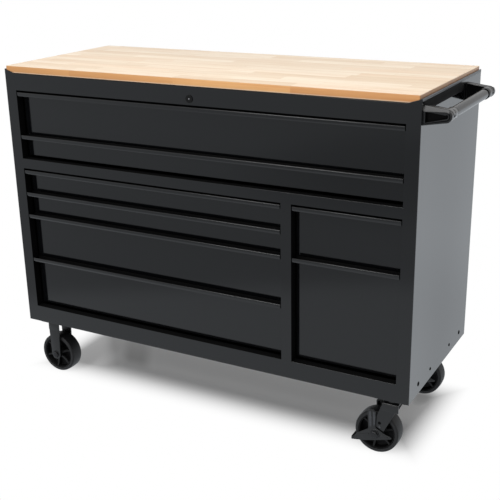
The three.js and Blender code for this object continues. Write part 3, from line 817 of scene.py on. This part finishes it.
class CART_OT_cabinet(bpy.types.Operator):
    """Frame, panels and inner uprights with rounded sheet edges, the panel's screws and bead"""

    bl_idname = "cart.cabinet"
    bl_label = "Cabinet"

    rack_rounding = 0.3
    largest_slide_face = 60  # taller faces of a rack belong to its uprights
    # Each side screw's place behind the front face, and its radius.
    side_screws = ((76, 7), (179, 4.8), (357, 4.8), (457, 6.6))
    screw_height, screw_rise = 30, 1.9

    def execute(self, context):
        paint = context.scene.cart_paint
        low, high = box_mm("front_frame")
        margin, fascia, fold_depth = 20, 50, 15

        def folds(middle, size):
            """The faces of the three openings, which stand square to the front. They take the dull
            black, a painted shade in the openings.
            """
            inside = (middle > low + margin) & (middle < high - (margin, 0, fascia))
            return inside[:, X] & inside[:, Z] & (size[:, Y] > fold_depth)

        softened("front_frame", "cabinet_paint", "cabinet", paint.rounding,
                 paint.front_rounding, "recess_black", folds)
        for node, look in (
            ("side_panel_left", "cabinet_paint"), ("side_panel_right", "cabinet_paint"),
            ("back_panel", "cabinet_paint"), ("top_panel", "cabinet_paint"),
            ("floor_pan", "inner_paint"), ("centre_divider", "inner_paint"),
        ):
            softened(node, look, "cabinet", paint.rounding)
        # The racks' tall faces, their uprights, take the dull black, a painted shade at the sides
        # of the openings.
        for side in ("left", "right", "divider_left", "divider_right"):
            softened(f"slide_rack_{side}", "zinc_steel", "cabinet",
                     self.rack_rounding, None, "recess_black",
                     lambda middle, size: size[:, Z] > self.largest_slide_face)
        self.screws()
        self.rims()
        return {"FINISHED"}

    def rims(self):
        """On the right side panel, the bead of its hem, its grey a painted sheen, and below it the
        black strip between the handle's brackets."""
        low, high = box_mm("side_panel_right")
        face, top = high[X], high[Z]
        bead = eased([(face - 0.3, top - 7.5, 0.2), (face + 0.6, top - 7.5, 0.5),
                      (face + 0.6, top - 0.5, 0.5), (face - 0.3, top - 0.2, 0.2)], steps=3)
        put("side_bead_right", skin(upright([bead, bead], Y, [low[Y] + 2, high[Y] - 2])),
            "bead_paint", "cabinet")
        front = box_mm("handle_bracket_front")[0][Y] + 8
        rear = box_mm("handle_bracket_rear")[0][Y]
        strip = eased([(front, top - 33.5, 2), (rear + 6, top - 33.5, 2), (rear + 6, top - 17, 2),
                       (rear - 14, top - 8, 10), (front, top - 8, 2)])
        put("side_strip_right", plate(strip, X, face - 0.3, face + 1.2, 0.5),
            "recess_black", "cabinet")

    def screws(self):
        """Four pan-head screws low on the right side panel, the outer two larger."""
        (_, front, floor), _ = box_mm("front_frame")
        face = box_mm("side_panel_right")[1][X]
        put("side_screws_right", joined(
            dome_screw((face, front + place, floor + self.screw_height), radius,
                       self.screw_rise, X, 1)
            for place, radius in self.side_screws),
            "recess_black", "cabinet")


class CART_OT_worktop(bpy.types.Operator):
    """The glued wooden board with its eased rims"""

    bl_idname = "cart.worktop"
    bl_label = "Worktop"

    corner, rim = 3.0, 1.6

    def execute(self, context):
        put("worktop_board", board(*box_mm("worktop"), self.corner, self.rim), "worktop_wood",
            "cabinet", ("worktop",))
        return {"FINISHED"}


class CART_OT_drawers(bpy.types.Operator):
    """Eight drawers: boxes, full-width pulls and the slides' middle members"""

    bl_idname = "cart.drawers"
    bl_label = "Drawers"

    # Where a slide member's faces lie: in from the box's side, in height and behind its front.
    member_depth, member_height, member_start = 9.4, 33, 7
    slide_rounding = 0.3

    def execute(self, context):
        width = context.scene.cart_paint.rounding / 2
        for drawer in DRAWERS:
            low, high = box_mm(f"{drawer}_box")

            def members(middle, size, low=low, high=high):
                """The faces of the two slide members on the outside of the drawer's sides."""
                aside = np.minimum(middle[:, X] - low[X], high[X] - middle[:, X])
                return ((aside < self.member_depth) & (size[:, Z] < self.member_height)
                        & (middle[:, Y] > low[Y] + self.member_start))

            softened(f"{drawer}_box", "cabinet_paint", drawer, width,
                     None, "zinc_steel", members)
            for side in ("left", "right"):
                softened(f"{drawer}_slide_{side}", "zinc_steel", f"{drawer}_slides",
                         self.slide_rounding)
            self.pull(drawer)
        return {"FINISHED"}

    def pull(self, drawer):
        """A channel: a lip in front with a rolled top, drawn in towards its foot, a shelf, and a
        flange whose hem covers the upper edge of the drawer's front. All that lies behind the
        lip is dull black, a painted shade in the channel."""
        low, high = box_mm(f"{drawer}_pull")
        front, back, shelf, top = low[Y], high[Y], low[Z], high[Z]
        lip_back, crown, hem = front + 3.4, top - 1.3, top - 1.9
        section = eased([
            (front + 2, shelf, 0.9), (back, shelf, 0.6), (back, hem - 1, 0.45),
            (back + 2.6, hem - 1, 0.45), (back + 2.6, hem, 0.45), (back - 1.2, hem, 0.5),
            (back - 1.5, shelf + 1.5, 0.8), (lip_back, shelf + 1.5, 0.8), (lip_back, crown, 0.5),
            (front, crown, 2.0), (front, shelf + 7.2, 2.0), (front + 0.5, shelf + 4, 1.6)])
        channel = plate(section, X, low[X] + 1, high[X] - 1, 0.4).marked(
            lambda middle: (middle[:, Y] > front + 3) & (middle[:, Z] > shelf + 0.2))
        put(f"{drawer}_pull_channel", channel, "pull_paint", drawer,
            (f"{drawer}_pull",), "recess_black")


class CART_OT_lock(bpy.types.Operator):
    """The lock cylinder in the fascia"""

    bl_idname = "cart.lock"
    bl_label = "Lock"

    bezel_radius, rounding = 11, 0.35
    plug = ((1.9, 1.4), (1.9, 0.5), (1.5, 0.1), (0.6, 0.04))

    def execute(self, context):
        softened("lock_cylinder", "screw_black", "lock", self.rounding)
        low, high = box_mm("lock_cylinder")
        middle = (high[X] - self.bezel_radius, low[Y], (low[Z] + high[Z]) / 2)
        put("lock_plug", lathe(self.plug, Y, middle, 24), "lock_metal", "lock")
        return {"FINISHED"}


class CART_OT_handle(bpy.types.Operator):
    """Push handle: two moulded brackets with hubs and the tube between them"""

    bl_idname = "cart.handle"
    bl_label = "Handle"

    def execute(self, context):
        front, rear = box_mm("handle_bracket_front"), box_mm("handle_bracket_rear")
        grip_low, grip_high = box_mm("handle_grip")
        self.centre = (grip_low + grip_high) / 2
        self.radius = (grip_high[X] - grip_low[X]) / 2
        self.base, self.bottom, self.top = front[0][X], front[0][Z], front[1][Z]
        self.nose = front[1][X] - self.centre[X]
        surfaces = (self.bracket(), *self.hub(front[1][Y] - front[0][Y]))
        for name, outer, rearward in (("front", front[0][Y], False), ("rear", rear[1][Y], True)):
            body, sleeve, ring, plug = (
                (surface.mirrored(Y, 0) if rearward else surface).moved((0, outer, 0))
                for surface in surfaces)
            put(f"handle_bracket_{name}_body", body + sleeve, "bracket_plastic", "cabinet",
                (f"handle_bracket_{name}",), "recess_black")
            # The end ring and the plug in dull black; the plug is a painted shade.
            put(f"handle_ring_{name}", ring + plug, "recess_black", "cabinet")
        self.grip(grip_low, grip_high)
        return {"FINISHED"}

    def loop(self, base, rise, drop, nose, t, chamfer=0.0):
        """One loop of a bracket: bottom line, half circle round the nose, top line. rise and drop
        are what the two lines lose at the base. The top is cut by chamfer, less near the nose."""
        x0, zc, xc = self.base + base, self.centre[Z], self.centre[X]
        s = np.linspace(0, 1, 13)
        a = np.linspace(-math.pi / 2, math.pi / 2, 25)[1:-1]
        bottom = np.stack([x0 + (xc - x0) * s,
                           self.bottom + rise + (zc - nose - self.bottom - rise) * s], 1)
        arc = np.stack([xc + nose * np.cos(a), zc + nose * np.sin(a)], 1)
        top = np.stack([xc + (x0 - xc) * s,
                        zc + nose + (self.top - drop - zc - nose) * s], 1)
        flat = np.concatenate([bottom, arc, top])
        share = np.clip((xc + nose - flat[:, 0]) / nose, 0, 1)
        line = self.top + (zc + self.nose - self.top) * (flat[:, 0] - self.base) / (xc - self.base)
        cut = np.minimum(flat[:, 1], np.maximum(line - chamfer * share, zc))
        flat[:, 1] = np.where(flat[:, 1] > zc, cut, flat[:, 1])
        return np.insert(flat, Y, t, axis=1)

    def bracket(self):
        """Loops from the outer pocket's floor out over the rim, with a groove round it, then along
        the sides, with the groove that parts plate and hub, and into the inner pocket. Pockets
        and grooves are dull black, a painted shade in them."""
        n = self.nose
        loops = [self.loop(*sizes) for sizes in (
            (9, 9.4, 16.4, 3.4, 9.6), (8.2, 8.6, 15.6, 4.2, 9), (7.6, 8, 15, 5, 1.2),
            (6.8, 7.2, 14.6, 5.8, 0.2), (3.6, 5.4, 14, 8.8, 0.1), (3.4, 5.2, 13.9, 9.1, 1.5),
            (2.4, 4, 13.8, 10.9, 1.5), (2.2, 3.7, 13.7, 11.2, 0.1),
            (1, 1.2, 13.4, n - 1.6, 0, 12.8), (0, 0.3, 0.2, n - 0.4, 0.6, 12),
            (0, 0, 0, n, 1.6, 10.4), (0, 0, 0, n, 7.4, 2.2), (0, 0, 0, n, 9, 0.6),
            (0, 0, 0, n, 10.4), (0, 0, 0, n, 11.4), (0, 0.5, 0.5, n - 2.4, 11.8),
            (0, 0.5, 0.5, n - 2.4, 15.2), (0, 0, 0, n - 0.6, 15.6), (0, 0, 0, n - 0.6, 29),
            (0.4, 0.4, 0.4, n - 0.8, 29.6), (1.2, 1.2, 1.2, n - 1.4, 30),
            (3.4, 3.4, 3.4, n - 3.4, 30), (4, 4, 4, n - 4, 29.4), (5, 5, 5, n - 5, 22.6),
            (6, 6, 6, n - 6, 22))]
        return skin(np.array(loops), marked=(0, 1, 2, 5, 14, 15, 16, 21, 22, 23, 24))

    def hub(self, length):
        """The hub that the tube sits in, its dull black end ring, and a small dull black plug in
        its side, a painted shade for the dark gap between plate and hub: a disc bent round the
        hub,
        0.3 (1 - s^2) proud at share s of its radius."""
        r, n, end = self.radius, self.nose, length - 2.4
        centre = (self.centre[X], 0, self.centre[Z])
        half_length, half_width, rise, place, tip = 4.6, 4.2, 0.3, 23.5, 0.05
        sleeve = [(n - 6, 23), (n - 0.9, 26), (n - 0.65, 27), (n - 0.65, length - 3.2),
                  (n - 1.1, end), (r + 0.3, end), (r + 0.3, length - 12)]
        ring = [(r + 0.25, length - 2.6), (n - 1.2, length - 2.6), (n - 0.9, length - 2),
                (n - 0.9, length - 0.5), (n - 1.4, length), (r + 0.25, length)]
        s, a = np.meshgrid(np.array([0.05, 0.5, 0.85, 1, 1]), np.arange(24) * math.pi / 12,
                           indexing="ij")
        out = n - 0.55 + rise * (1 - s ** 2)
        out[-1] = n - 2
        lean = half_width * s * np.sin(a) / n - tip
        rings = np.stack([out * np.cos(lean), place + half_length * s * np.cos(a),
                          out * np.sin(lean)], -1)
        return (lathe(sleeve, Y, centre, 64), lathe(ring, Y, centre, 64, closed=True),
                skin(rings).moved(centre))

    def grip(self, low, high):
        """The tube. Its radius eases in by 0.4 at both ends, where it enters the hubs."""
        ease, rate = 0.4, 14
        t = np.linspace(0, 1, 41)
        radius = self.radius - ease * np.clip(1 - np.minimum(t, 1 - t) * rate, 0, 1) ** 2
        place = low[Y] + (high[Y] - low[Y]) * t
        surface = lathe(np.stack([radius, place], 1), Y, (self.centre[X], 0, self.centre[Z]), 64)
        put("handle_grip_tube", surface, "grip_paint", "cabinet",
            ("handle_grip",))


class CART_OT_casters(bpy.types.Operator):
    """Two rigid and two swivel casters: plates, forks, axles, wheels and brake pedals"""

    bl_idname = "cart.casters"
    bl_label = "Casters"

    plate_thickness = 3.7
    # A leg's two faces from the middle of the wheel, the depth of the bent strip and its bend.
    leg_inside, leg_outside, leg_drop, bend = 28.5, 32.5, 26, 7
    # The rigid plate's half sizes, half the width of the legs, and the pedal's room on the axle.
    rigid_plate, rigid_leg, swivel_leg, swivel_gap = (50, 38), 21, 24, 4
    # Each plate bolt's place in from the plate's edges, its radius and its height.
    bolt_inset, bolt_radius, bolt_height = (11, 10), 6.4, 2.6
    # Half widths, and how far the shoulder, the rim's outside and the spokes lie in the tyre.
    tyre_half, hub_half = 22.5, 27.5
    tyre_depth, rim_depth, spoke_depth = 5, 11, 14
    boss_radius = 17
    cheek_place = 33.1  # inner face of a pedal's cheek, from the middle of the wheel

    def execute(self, context):
        for row in ROWS:
            self.wheel("rigid", row, context, "cabinet", 0)
            self.wheel("swivel", row, context, f"swivel_fork_{row}", self.swivel_gap)
            self.rigid(row)
            self.swivel(row)
            self.pedal(row)
        return {"FINISHED"}

    def wheel(self, kind, row, context, carrier, gap):
        """A wheel in three pieces that roll, and the axle on the body that carries it."""
        caster = f"{kind}_caster_{row}"
        low, high = box_mm(f"{caster}_wheel")
        radius = high[Z] / 2
        turn = math.degrees(context.scene.cart_casters.spoke_turn)
        for part, surface, look, second in (
            ("tyre", self.tyre(radius), "tyre_rubber", "tread_rubber"),
            ("core", self.core(radius - self.rim_depth), "wheel_nylon", None),
            ("spokes", self.spokes(radius - self.spoke_depth).turned(Y, -turn),
             "spoke_nylon", None),
        ):
            put(f"{caster}_{part}", surface.moved((low + high) / 2), look,
                f"{kind}_wheel_{row}", (f"{caster}_wheel",), second)
        put(f"{caster}_bolt", self.axle(self.leg_outside + gap).moved((low + high) / 2),
            "bolt_steel", carrier)

    def tyre(self, radius):
        """A ring with a crowned tread: at share s of the half width its radius drops by
        0.9 s^2 and turns over a round shoulder. A bead stands on each sidewall. Tread and
        shoulders are marked."""
        half, shoulder, crown = self.tyre_half, self.tyre_depth, 0.9
        s = np.linspace(-1, 1, 13)
        tread = np.stack([radius - crown * s ** 2, s * (half - shoulder)], 1)
        a = np.linspace(0, math.pi / 2, 7)[1:]
        turn = np.stack([radius - crown - shoulder + shoulder * np.cos(a),
                         half - shoulder + shoulder * np.sin(a)], 1)
        bead = [(7.2, 0), (7.6, 0.5), (8.2, 0.5), (8.6, 0), (10.4, 0), (11.2, 0.8), (11.2, 6)]
        right = np.concatenate([turn, (radius, half) - np.array(bead)])
        left = right[::-1] * (1, -1)
        ring = lathe(np.concatenate([left, tread, right]), Y, sides=96, closed=True)
        return ring.marked(lambda middle: np.hypot(middle[:, X], middle[:, Z]) > radius - shoulder)

    def core(self, rim):
        """Rim, thin web and bored hub in one ring."""
        half = np.array([
            (6.4, self.hub_half), (13.4, self.hub_half), (14.6, 26.6), (15.6, 20), (16.6, 7.2),
            (18, 5), (45, 5), (47.4, 6), (48.6, 8), (49.6, 19.6), (50.4, 20.8), (52.6, 21.2),
            (rim, 20.4), (rim, 15)])
        return lathe(np.concatenate([half[::-1] * (1, -1), half]), Y, sides=72, closed=True)

    def spokes(self, reach):
        """Six bars of round-cornered section: at share s of its length a spoke's half width is
        4.2 - 1.4 s and its half depth 20.5 - 3.5 sin(pi s) - 1.2 s."""
        steps, start, count = 12, 12, 6
        s = np.linspace(0, 1, steps)
        place = start + (reach - start) * s
        half_width, half_depth = 4.2 - 1.4 * s, 20.5 - 3.5 * np.sin(math.pi * s) - 1.2 * s
        unit = eased([(-1, -1), (1, -1), (1, 1), (-1, 1)], 0.35, 3)
        flattened = np.sign(unit[:, 0]) * (1 - (1 - np.abs(unit[:, 0])) * 0.25)
        spoke = skin(np.stack([
            np.broadcast_to(place[:, None], (steps, len(unit))),
            half_depth[:, None] * flattened,
            half_width[:, None] * unit[:, 1]], -1))
        return joined(spoke.turned(Y, -360 / count * number) for number in range(count))

    def axle(self, outer):
        """The axle, with a washer, a chamfered head and a nut at its two ends."""
        surfaces = [lathe([(6, -outer - 2), (6, outer + 2)], Y, sides=32)]
        for way in (-1, 1):
            face = way * (outer + 1.2)
            washer = [(5.5, way * outer), (12.5, way * outer), (12.9, way * (outer + 0.4)),
                      (12.5, face), (5.5, face)]
            tip = [(4.6, way * (outer + 5)), (4.6, way * (outer + 5.9)), (3.8, way * (outer + 6))]
            surfaces += [lathe(washer, Y, sides=40, closed=True),
                         hex_head((0, face, 0), 9.8, 4.4, way), lathe(tip, Y, sides=32)]
        return joined(surfaces)

    def arm(self, centre, radius, left, right):
        """The outline of a fork leg. Its two sides run from the top corners to where they touch
        the boss: at the lean of the line to the corner, turned by acos(radius / distance)."""
        def touch(corner, way):
            u, v = corner[0] - centre[0], corner[1] - centre[1]
            return math.atan2(v, u) + way * math.acos(radius / math.hypot(u, v))
        start, end = touch(left, 1), touch(right, -1) + 2 * math.pi
        a = np.linspace(start, start + (end - start) % (2 * math.pi), 33)
        arc = np.stack([centre[0] + radius * np.cos(a), centre[1] + radius * np.sin(a)], 1)
        return np.concatenate([[left], arc, [right]])

    def mount(self, low, high, top):
        """The mounting plate with the heads of its four bolts below it."""
        under = top - self.plate_thickness
        in_x, in_y = self.bolt_inset
        heads = [hex_head((x, y, under), self.bolt_radius, self.bolt_height, -1, Z, 15)
                 for x in (low[X] + in_x, high[X] - in_x) for y in (low[Y] + in_y, high[Y] - in_y)]
        return joined([board((low[X], low[Y], under), (high[X], high[Y], top), 8, 0.7), *heads])

    def fork(self, axle, y, left, right, top):
        """A bent strip over the wheel, 4 thick, whose legs taper to round bosses."""
        inside, outside, bend = self.leg_inside, self.leg_outside, self.bend
        foot, web, edge, gap, drop = top - self.leg_drop, top - 4, 0.8, 0.15, top - 8
        half = [(-outside, top, bend), (-outside, foot, 1), (-inside, foot, 1),
                (-inside, web, bend - 4)]
        half += [(-across, up, radius) for across, up, radius in half[::-1]]
        strip = eased([(y + across, up, radius) for across, up, radius in half])
        leg = self.arm(axle, self.boss_radius, (left + 0.3, drop), (right - 0.3, drop))
        legs = [plate(leg, Y, near + gap, far - gap, edge)
                for near, far in ((y - outside, y - inside), (y + inside, y + outside))]
        return joined([plate(strip, X, left, right, edge), *legs])

    def rigid(self, row):
        """Plate and fork of a rigid caster in one piece."""
        node = f"rigid_caster_{row}_fork"
        top = box_mm(node)[1][Z]
        low, high = box_mm(f"rigid_caster_{row}_wheel")
        x, y, _ = (low + high) / 2
        length, width = self.rigid_plate
        mount = self.mount((x - length, y - width), (x + length, y + width), top)
        fork = self.fork((x, high[Z] / 2), y, x - self.rigid_leg, x + self.rigid_leg, top - 3.5)
        put(f"{node}_shape", mount + fork, "caster_paint", "cabinet", (node,))

    def swivel(self, row):
        """Plate with raceway and kingpin, and the fork with a rivet in each leg and, in dull
        black, a disc for a hole and a line along the pedal's upper edge, both a painted shade."""
        plate_node, fork_node = f"swivel_caster_{row}_plate", f"swivel_caster_{row}_fork"
        low, high = box_mm(plate_node)
        wheel_low, wheel_high = box_mm(f"swivel_caster_{row}_wheel")
        (x, y, _), top = (low + high) / 2, high[Z]
        under = top - self.plate_thickness
        race = [(8, 1), (25, 1), (25.4, -1), (26, -3.4), (24.4, -4.4), (24.4, -5.6), (26, -6.6),
                (26, -9.2), (24.8, -9.9), (8, -9.9)]
        put(f"{plate_node}_shape", joined([
            self.mount(low, high, top),
            lathe([(radius, under + up) for radius, up in race], Z, (x, y, 0), 56),
            lathe([(6, low[Z] + 1), (6, under)], Z, (x, y, 0), 32),
            hex_head((x, y, low[Z] + 6), 11, 6, -1, Z)]),
            "caster_paint", "cabinet", (plate_node,))
        axle = np.array(((wheel_low[X] + wheel_high[X]) / 2, wheel_high[Z] / 2))
        fork = self.fork(axle, y, x - self.swivel_leg, x + self.swivel_leg,
                         box_mm(fork_node)[1][Z])
        body, slot = f"swivel_fork_{row}", "caster_steel"
        put(f"{fork_node}_shape", fork, "caster_paint", body, (fork_node,))
        # A painted shadow line on each leg, along the pedal's upper edge.
        pedal_shadow_line = eased(axle + [(-5, 24), (2, 23), (14, 17), (27, 11), (28, 5), (14, 8), (0, 14),
                                (-5, 15)], 1.2, 3)
        # The black hole discs and the shadow lines are painted shade; the rivets are steel.
        painted_shades, rivets = [], []
        for way in (-1, 1):
            face = y + way * (self.leg_outside - 0.1)
            hole = [(4.6, face - way), (4.6, face), (4.0, face + way * 0.12),
                    (0.5, face + way * 0.12)]
            rivet = [(3.4, face - way), (3.4, face + way * 0.8), (2.2, face + way * 1.5),
                     (0.4, face + way * 1.8)]
            painted_shades += [lathe(hole, Y, (axle[0] + 12, 0, axle[1] + 36), 28),
                      plate(pedal_shadow_line, Y, *sorted((face - way, face + way * 0.3)), 0.1)]
            rivets += [lathe(rivet, Y, (axle[0] + 12.5, 0, axle[1] + 23), 28)]
        put(f"{fork_node}_holes", joined(painted_shades), "recess_black", body)
        put(f"{fork_node}_rivets", joined(rivets), "strip_steel", body)

    # The cheek's corners as shares of the wheel's radius, each with its rounding in millimetres.
    pedal_cheek = (
        (-0.77, -0.12, 2), (-0.3, 0.2, 3), (-0.36, 1.04, 2), (-0.3, 1.12, 2), (-0.08, 1.15, 2),
        (0.03, 1.06, 2), (0.02, 0.3, 5), (0.25, 0.19, 3), (0.4, 0.1, 3), (0.75, 0.0, 1.5),
        (0.75, -0.07, 1.5), (0.35, -0.2, 3), (0, -0.3, 5), (-0.45, -0.42, 3))
    # The ribs' corners in the same shares, and the bars' in millimetres from the axle.
    pedal_ribs = (
        ((-0.74, -0.2), (-0.3, -0.02), (-0.24, -0.1), (-0.5, -0.33)),
        ((0.24, 0.0), (0.6, -0.01), (0.6, -0.07), (0.36, -0.14), (0.22, -0.16)))
    pedal_bars = (
        ((-19, 66), (-12.5, 70), (-10, 50), (-9.5, 22), (-15.5, 20.5), (-18, 46)),
        ((-7, 70.5), (-1.5, 68), (0.6, 52), (0.6, 30), (-4, 25), (-5.5, 50)))
    tread_ribs = 9

    def pedal(self, row):
        """Two stamped cheeks outside the fork with a raised rib along arm and blade, a boss round
        the axle, and a ribbed foot tread between them."""
        node = f"swivel_caster_{row}_brake_pedal"
        low, high = box_mm(node)
        wheel_low, wheel_high = box_mm(f"swivel_caster_{row}_wheel")
        x, y, r = (wheel_low[X] + wheel_high[X]) / 2, (low[Y] + high[Y]) / 2, wheel_high[Z] / 2
        tread_x, tread_height, sheet, bar_height = low[X] + 7, 10, 2.2, 3.4
        cheek = eased([(tread_x, low[Z], 1), (tread_x, low[Z] + tread_height, 1),
                       *((x + u * r, r + v * r, ease) for u, v, ease in self.pedal_cheek)])
        ribs = [eased((x, r) + np.array(rib) * r, 1.8, 3) for rib in self.pedal_ribs]
        bars = [eased((x, r) + np.array(bar), 1.2, 3) for bar in self.pedal_bars]

        def raised(outline, near, height, edge):
            """A plate on the fork's side, from near outwards by the height."""
            return plate(outline, Y, *sorted((near, near + height)), edge)

        stamped, strips = [], []
        for way in (-1, 1):
            near = y + way * self.cheek_place
            far, proud = near + way * sheet, near + way * 3
            boss = [(6.6, near), (15.4, near), (15.4, far), (14.6, proud), (12.6, proud),
                    (12.2, far), (6.6, far)]
            stamped += [raised(cheek, near, way * sheet, 0.6),
                        lathe(boss, Y, (x, 0, r), 48, closed=True)]
            stamped += [raised(rib, near, way * 3, 0.5) for rib in ribs]
            strips += [raised(bar, near, way * bar_height, 0.3) for bar in bars]
        stamped.append(board((low[X] + 0.6, low[Y], low[Z]),
                             (tread_x + 0.4, high[Y], low[Z] + tread_height), 2, 1.2, Y))
        for place in np.linspace(low[Y] + 6, high[Y] - 6, self.tread_ribs):
            stamped.append(board((low[X], place - 1.3, low[Z] + 1.2),
                                 (low[X] + 4, place + 1.3, low[Z] + 9), 0.5, 0.4, Y))
        put(f"{node}_shape", joined(stamped), "pedal_plastic", f"brake_pedal_{row}",
            (node,))
        put(f"{node}_bars", joined(strips), "strip_steel", f"brake_pedal_{row}")


OPERATORS = (CART_OT_stage, CART_OT_cabinet, CART_OT_worktop, CART_OT_drawers, CART_OT_lock,
             CART_OT_handle, CART_OT_casters)


class CART_PT_sidebar(bpy.types.Panel):
    """Lists the steps that build the cart"""

    bl_idname = "CART_PT_sidebar"
    bl_label = "Tool cart"
    bl_space_type = "VIEW_3D"
    bl_region_type = "UI"
    bl_category = "Tool cart"

    def draw(self, context):
        for group in ("cart_stage", "cart_paint", "cart_wood", "cart_handle", "cart_casters"):
            settings = getattr(context.scene, group)
            for name in settings.bl_rna.properties.keys():
                if name not in ("rna_type", "name"):
                    self.layout.prop(settings, name)
        for operator in OPERATORS:
            self.layout.operator(operator.bl_idname)


GROUPS = {
    "cart_stage": CartStage,
    "cart_paint": CartPaint,
    "cart_wood": CartWood,
    "cart_handle": CartHandle,
    "cart_casters": CartCasters,
}


def register():
    for group in (*GROUPS.values(), *OPERATORS, CART_PT_sidebar):
        bpy.utils.register_class(group)
    for name, group in GROUPS.items():
        setattr(bpy.types.Scene, name, bpy.props.PointerProperty(type=group))


def unregister():
    for name in GROUPS:
        delattr(bpy.types.Scene, name)
    for group in (CART_PT_sidebar, *reversed(OPERATORS), *reversed(GROUPS.values())):
        bpy.utils.unregister_class(group)


def main():
    register()
    for operator in OPERATORS:
        group, name = operator.bl_idname.split(".")
        getattr(getattr(bpy.ops, group), name)()


if __name__ == "__main__":
    main()
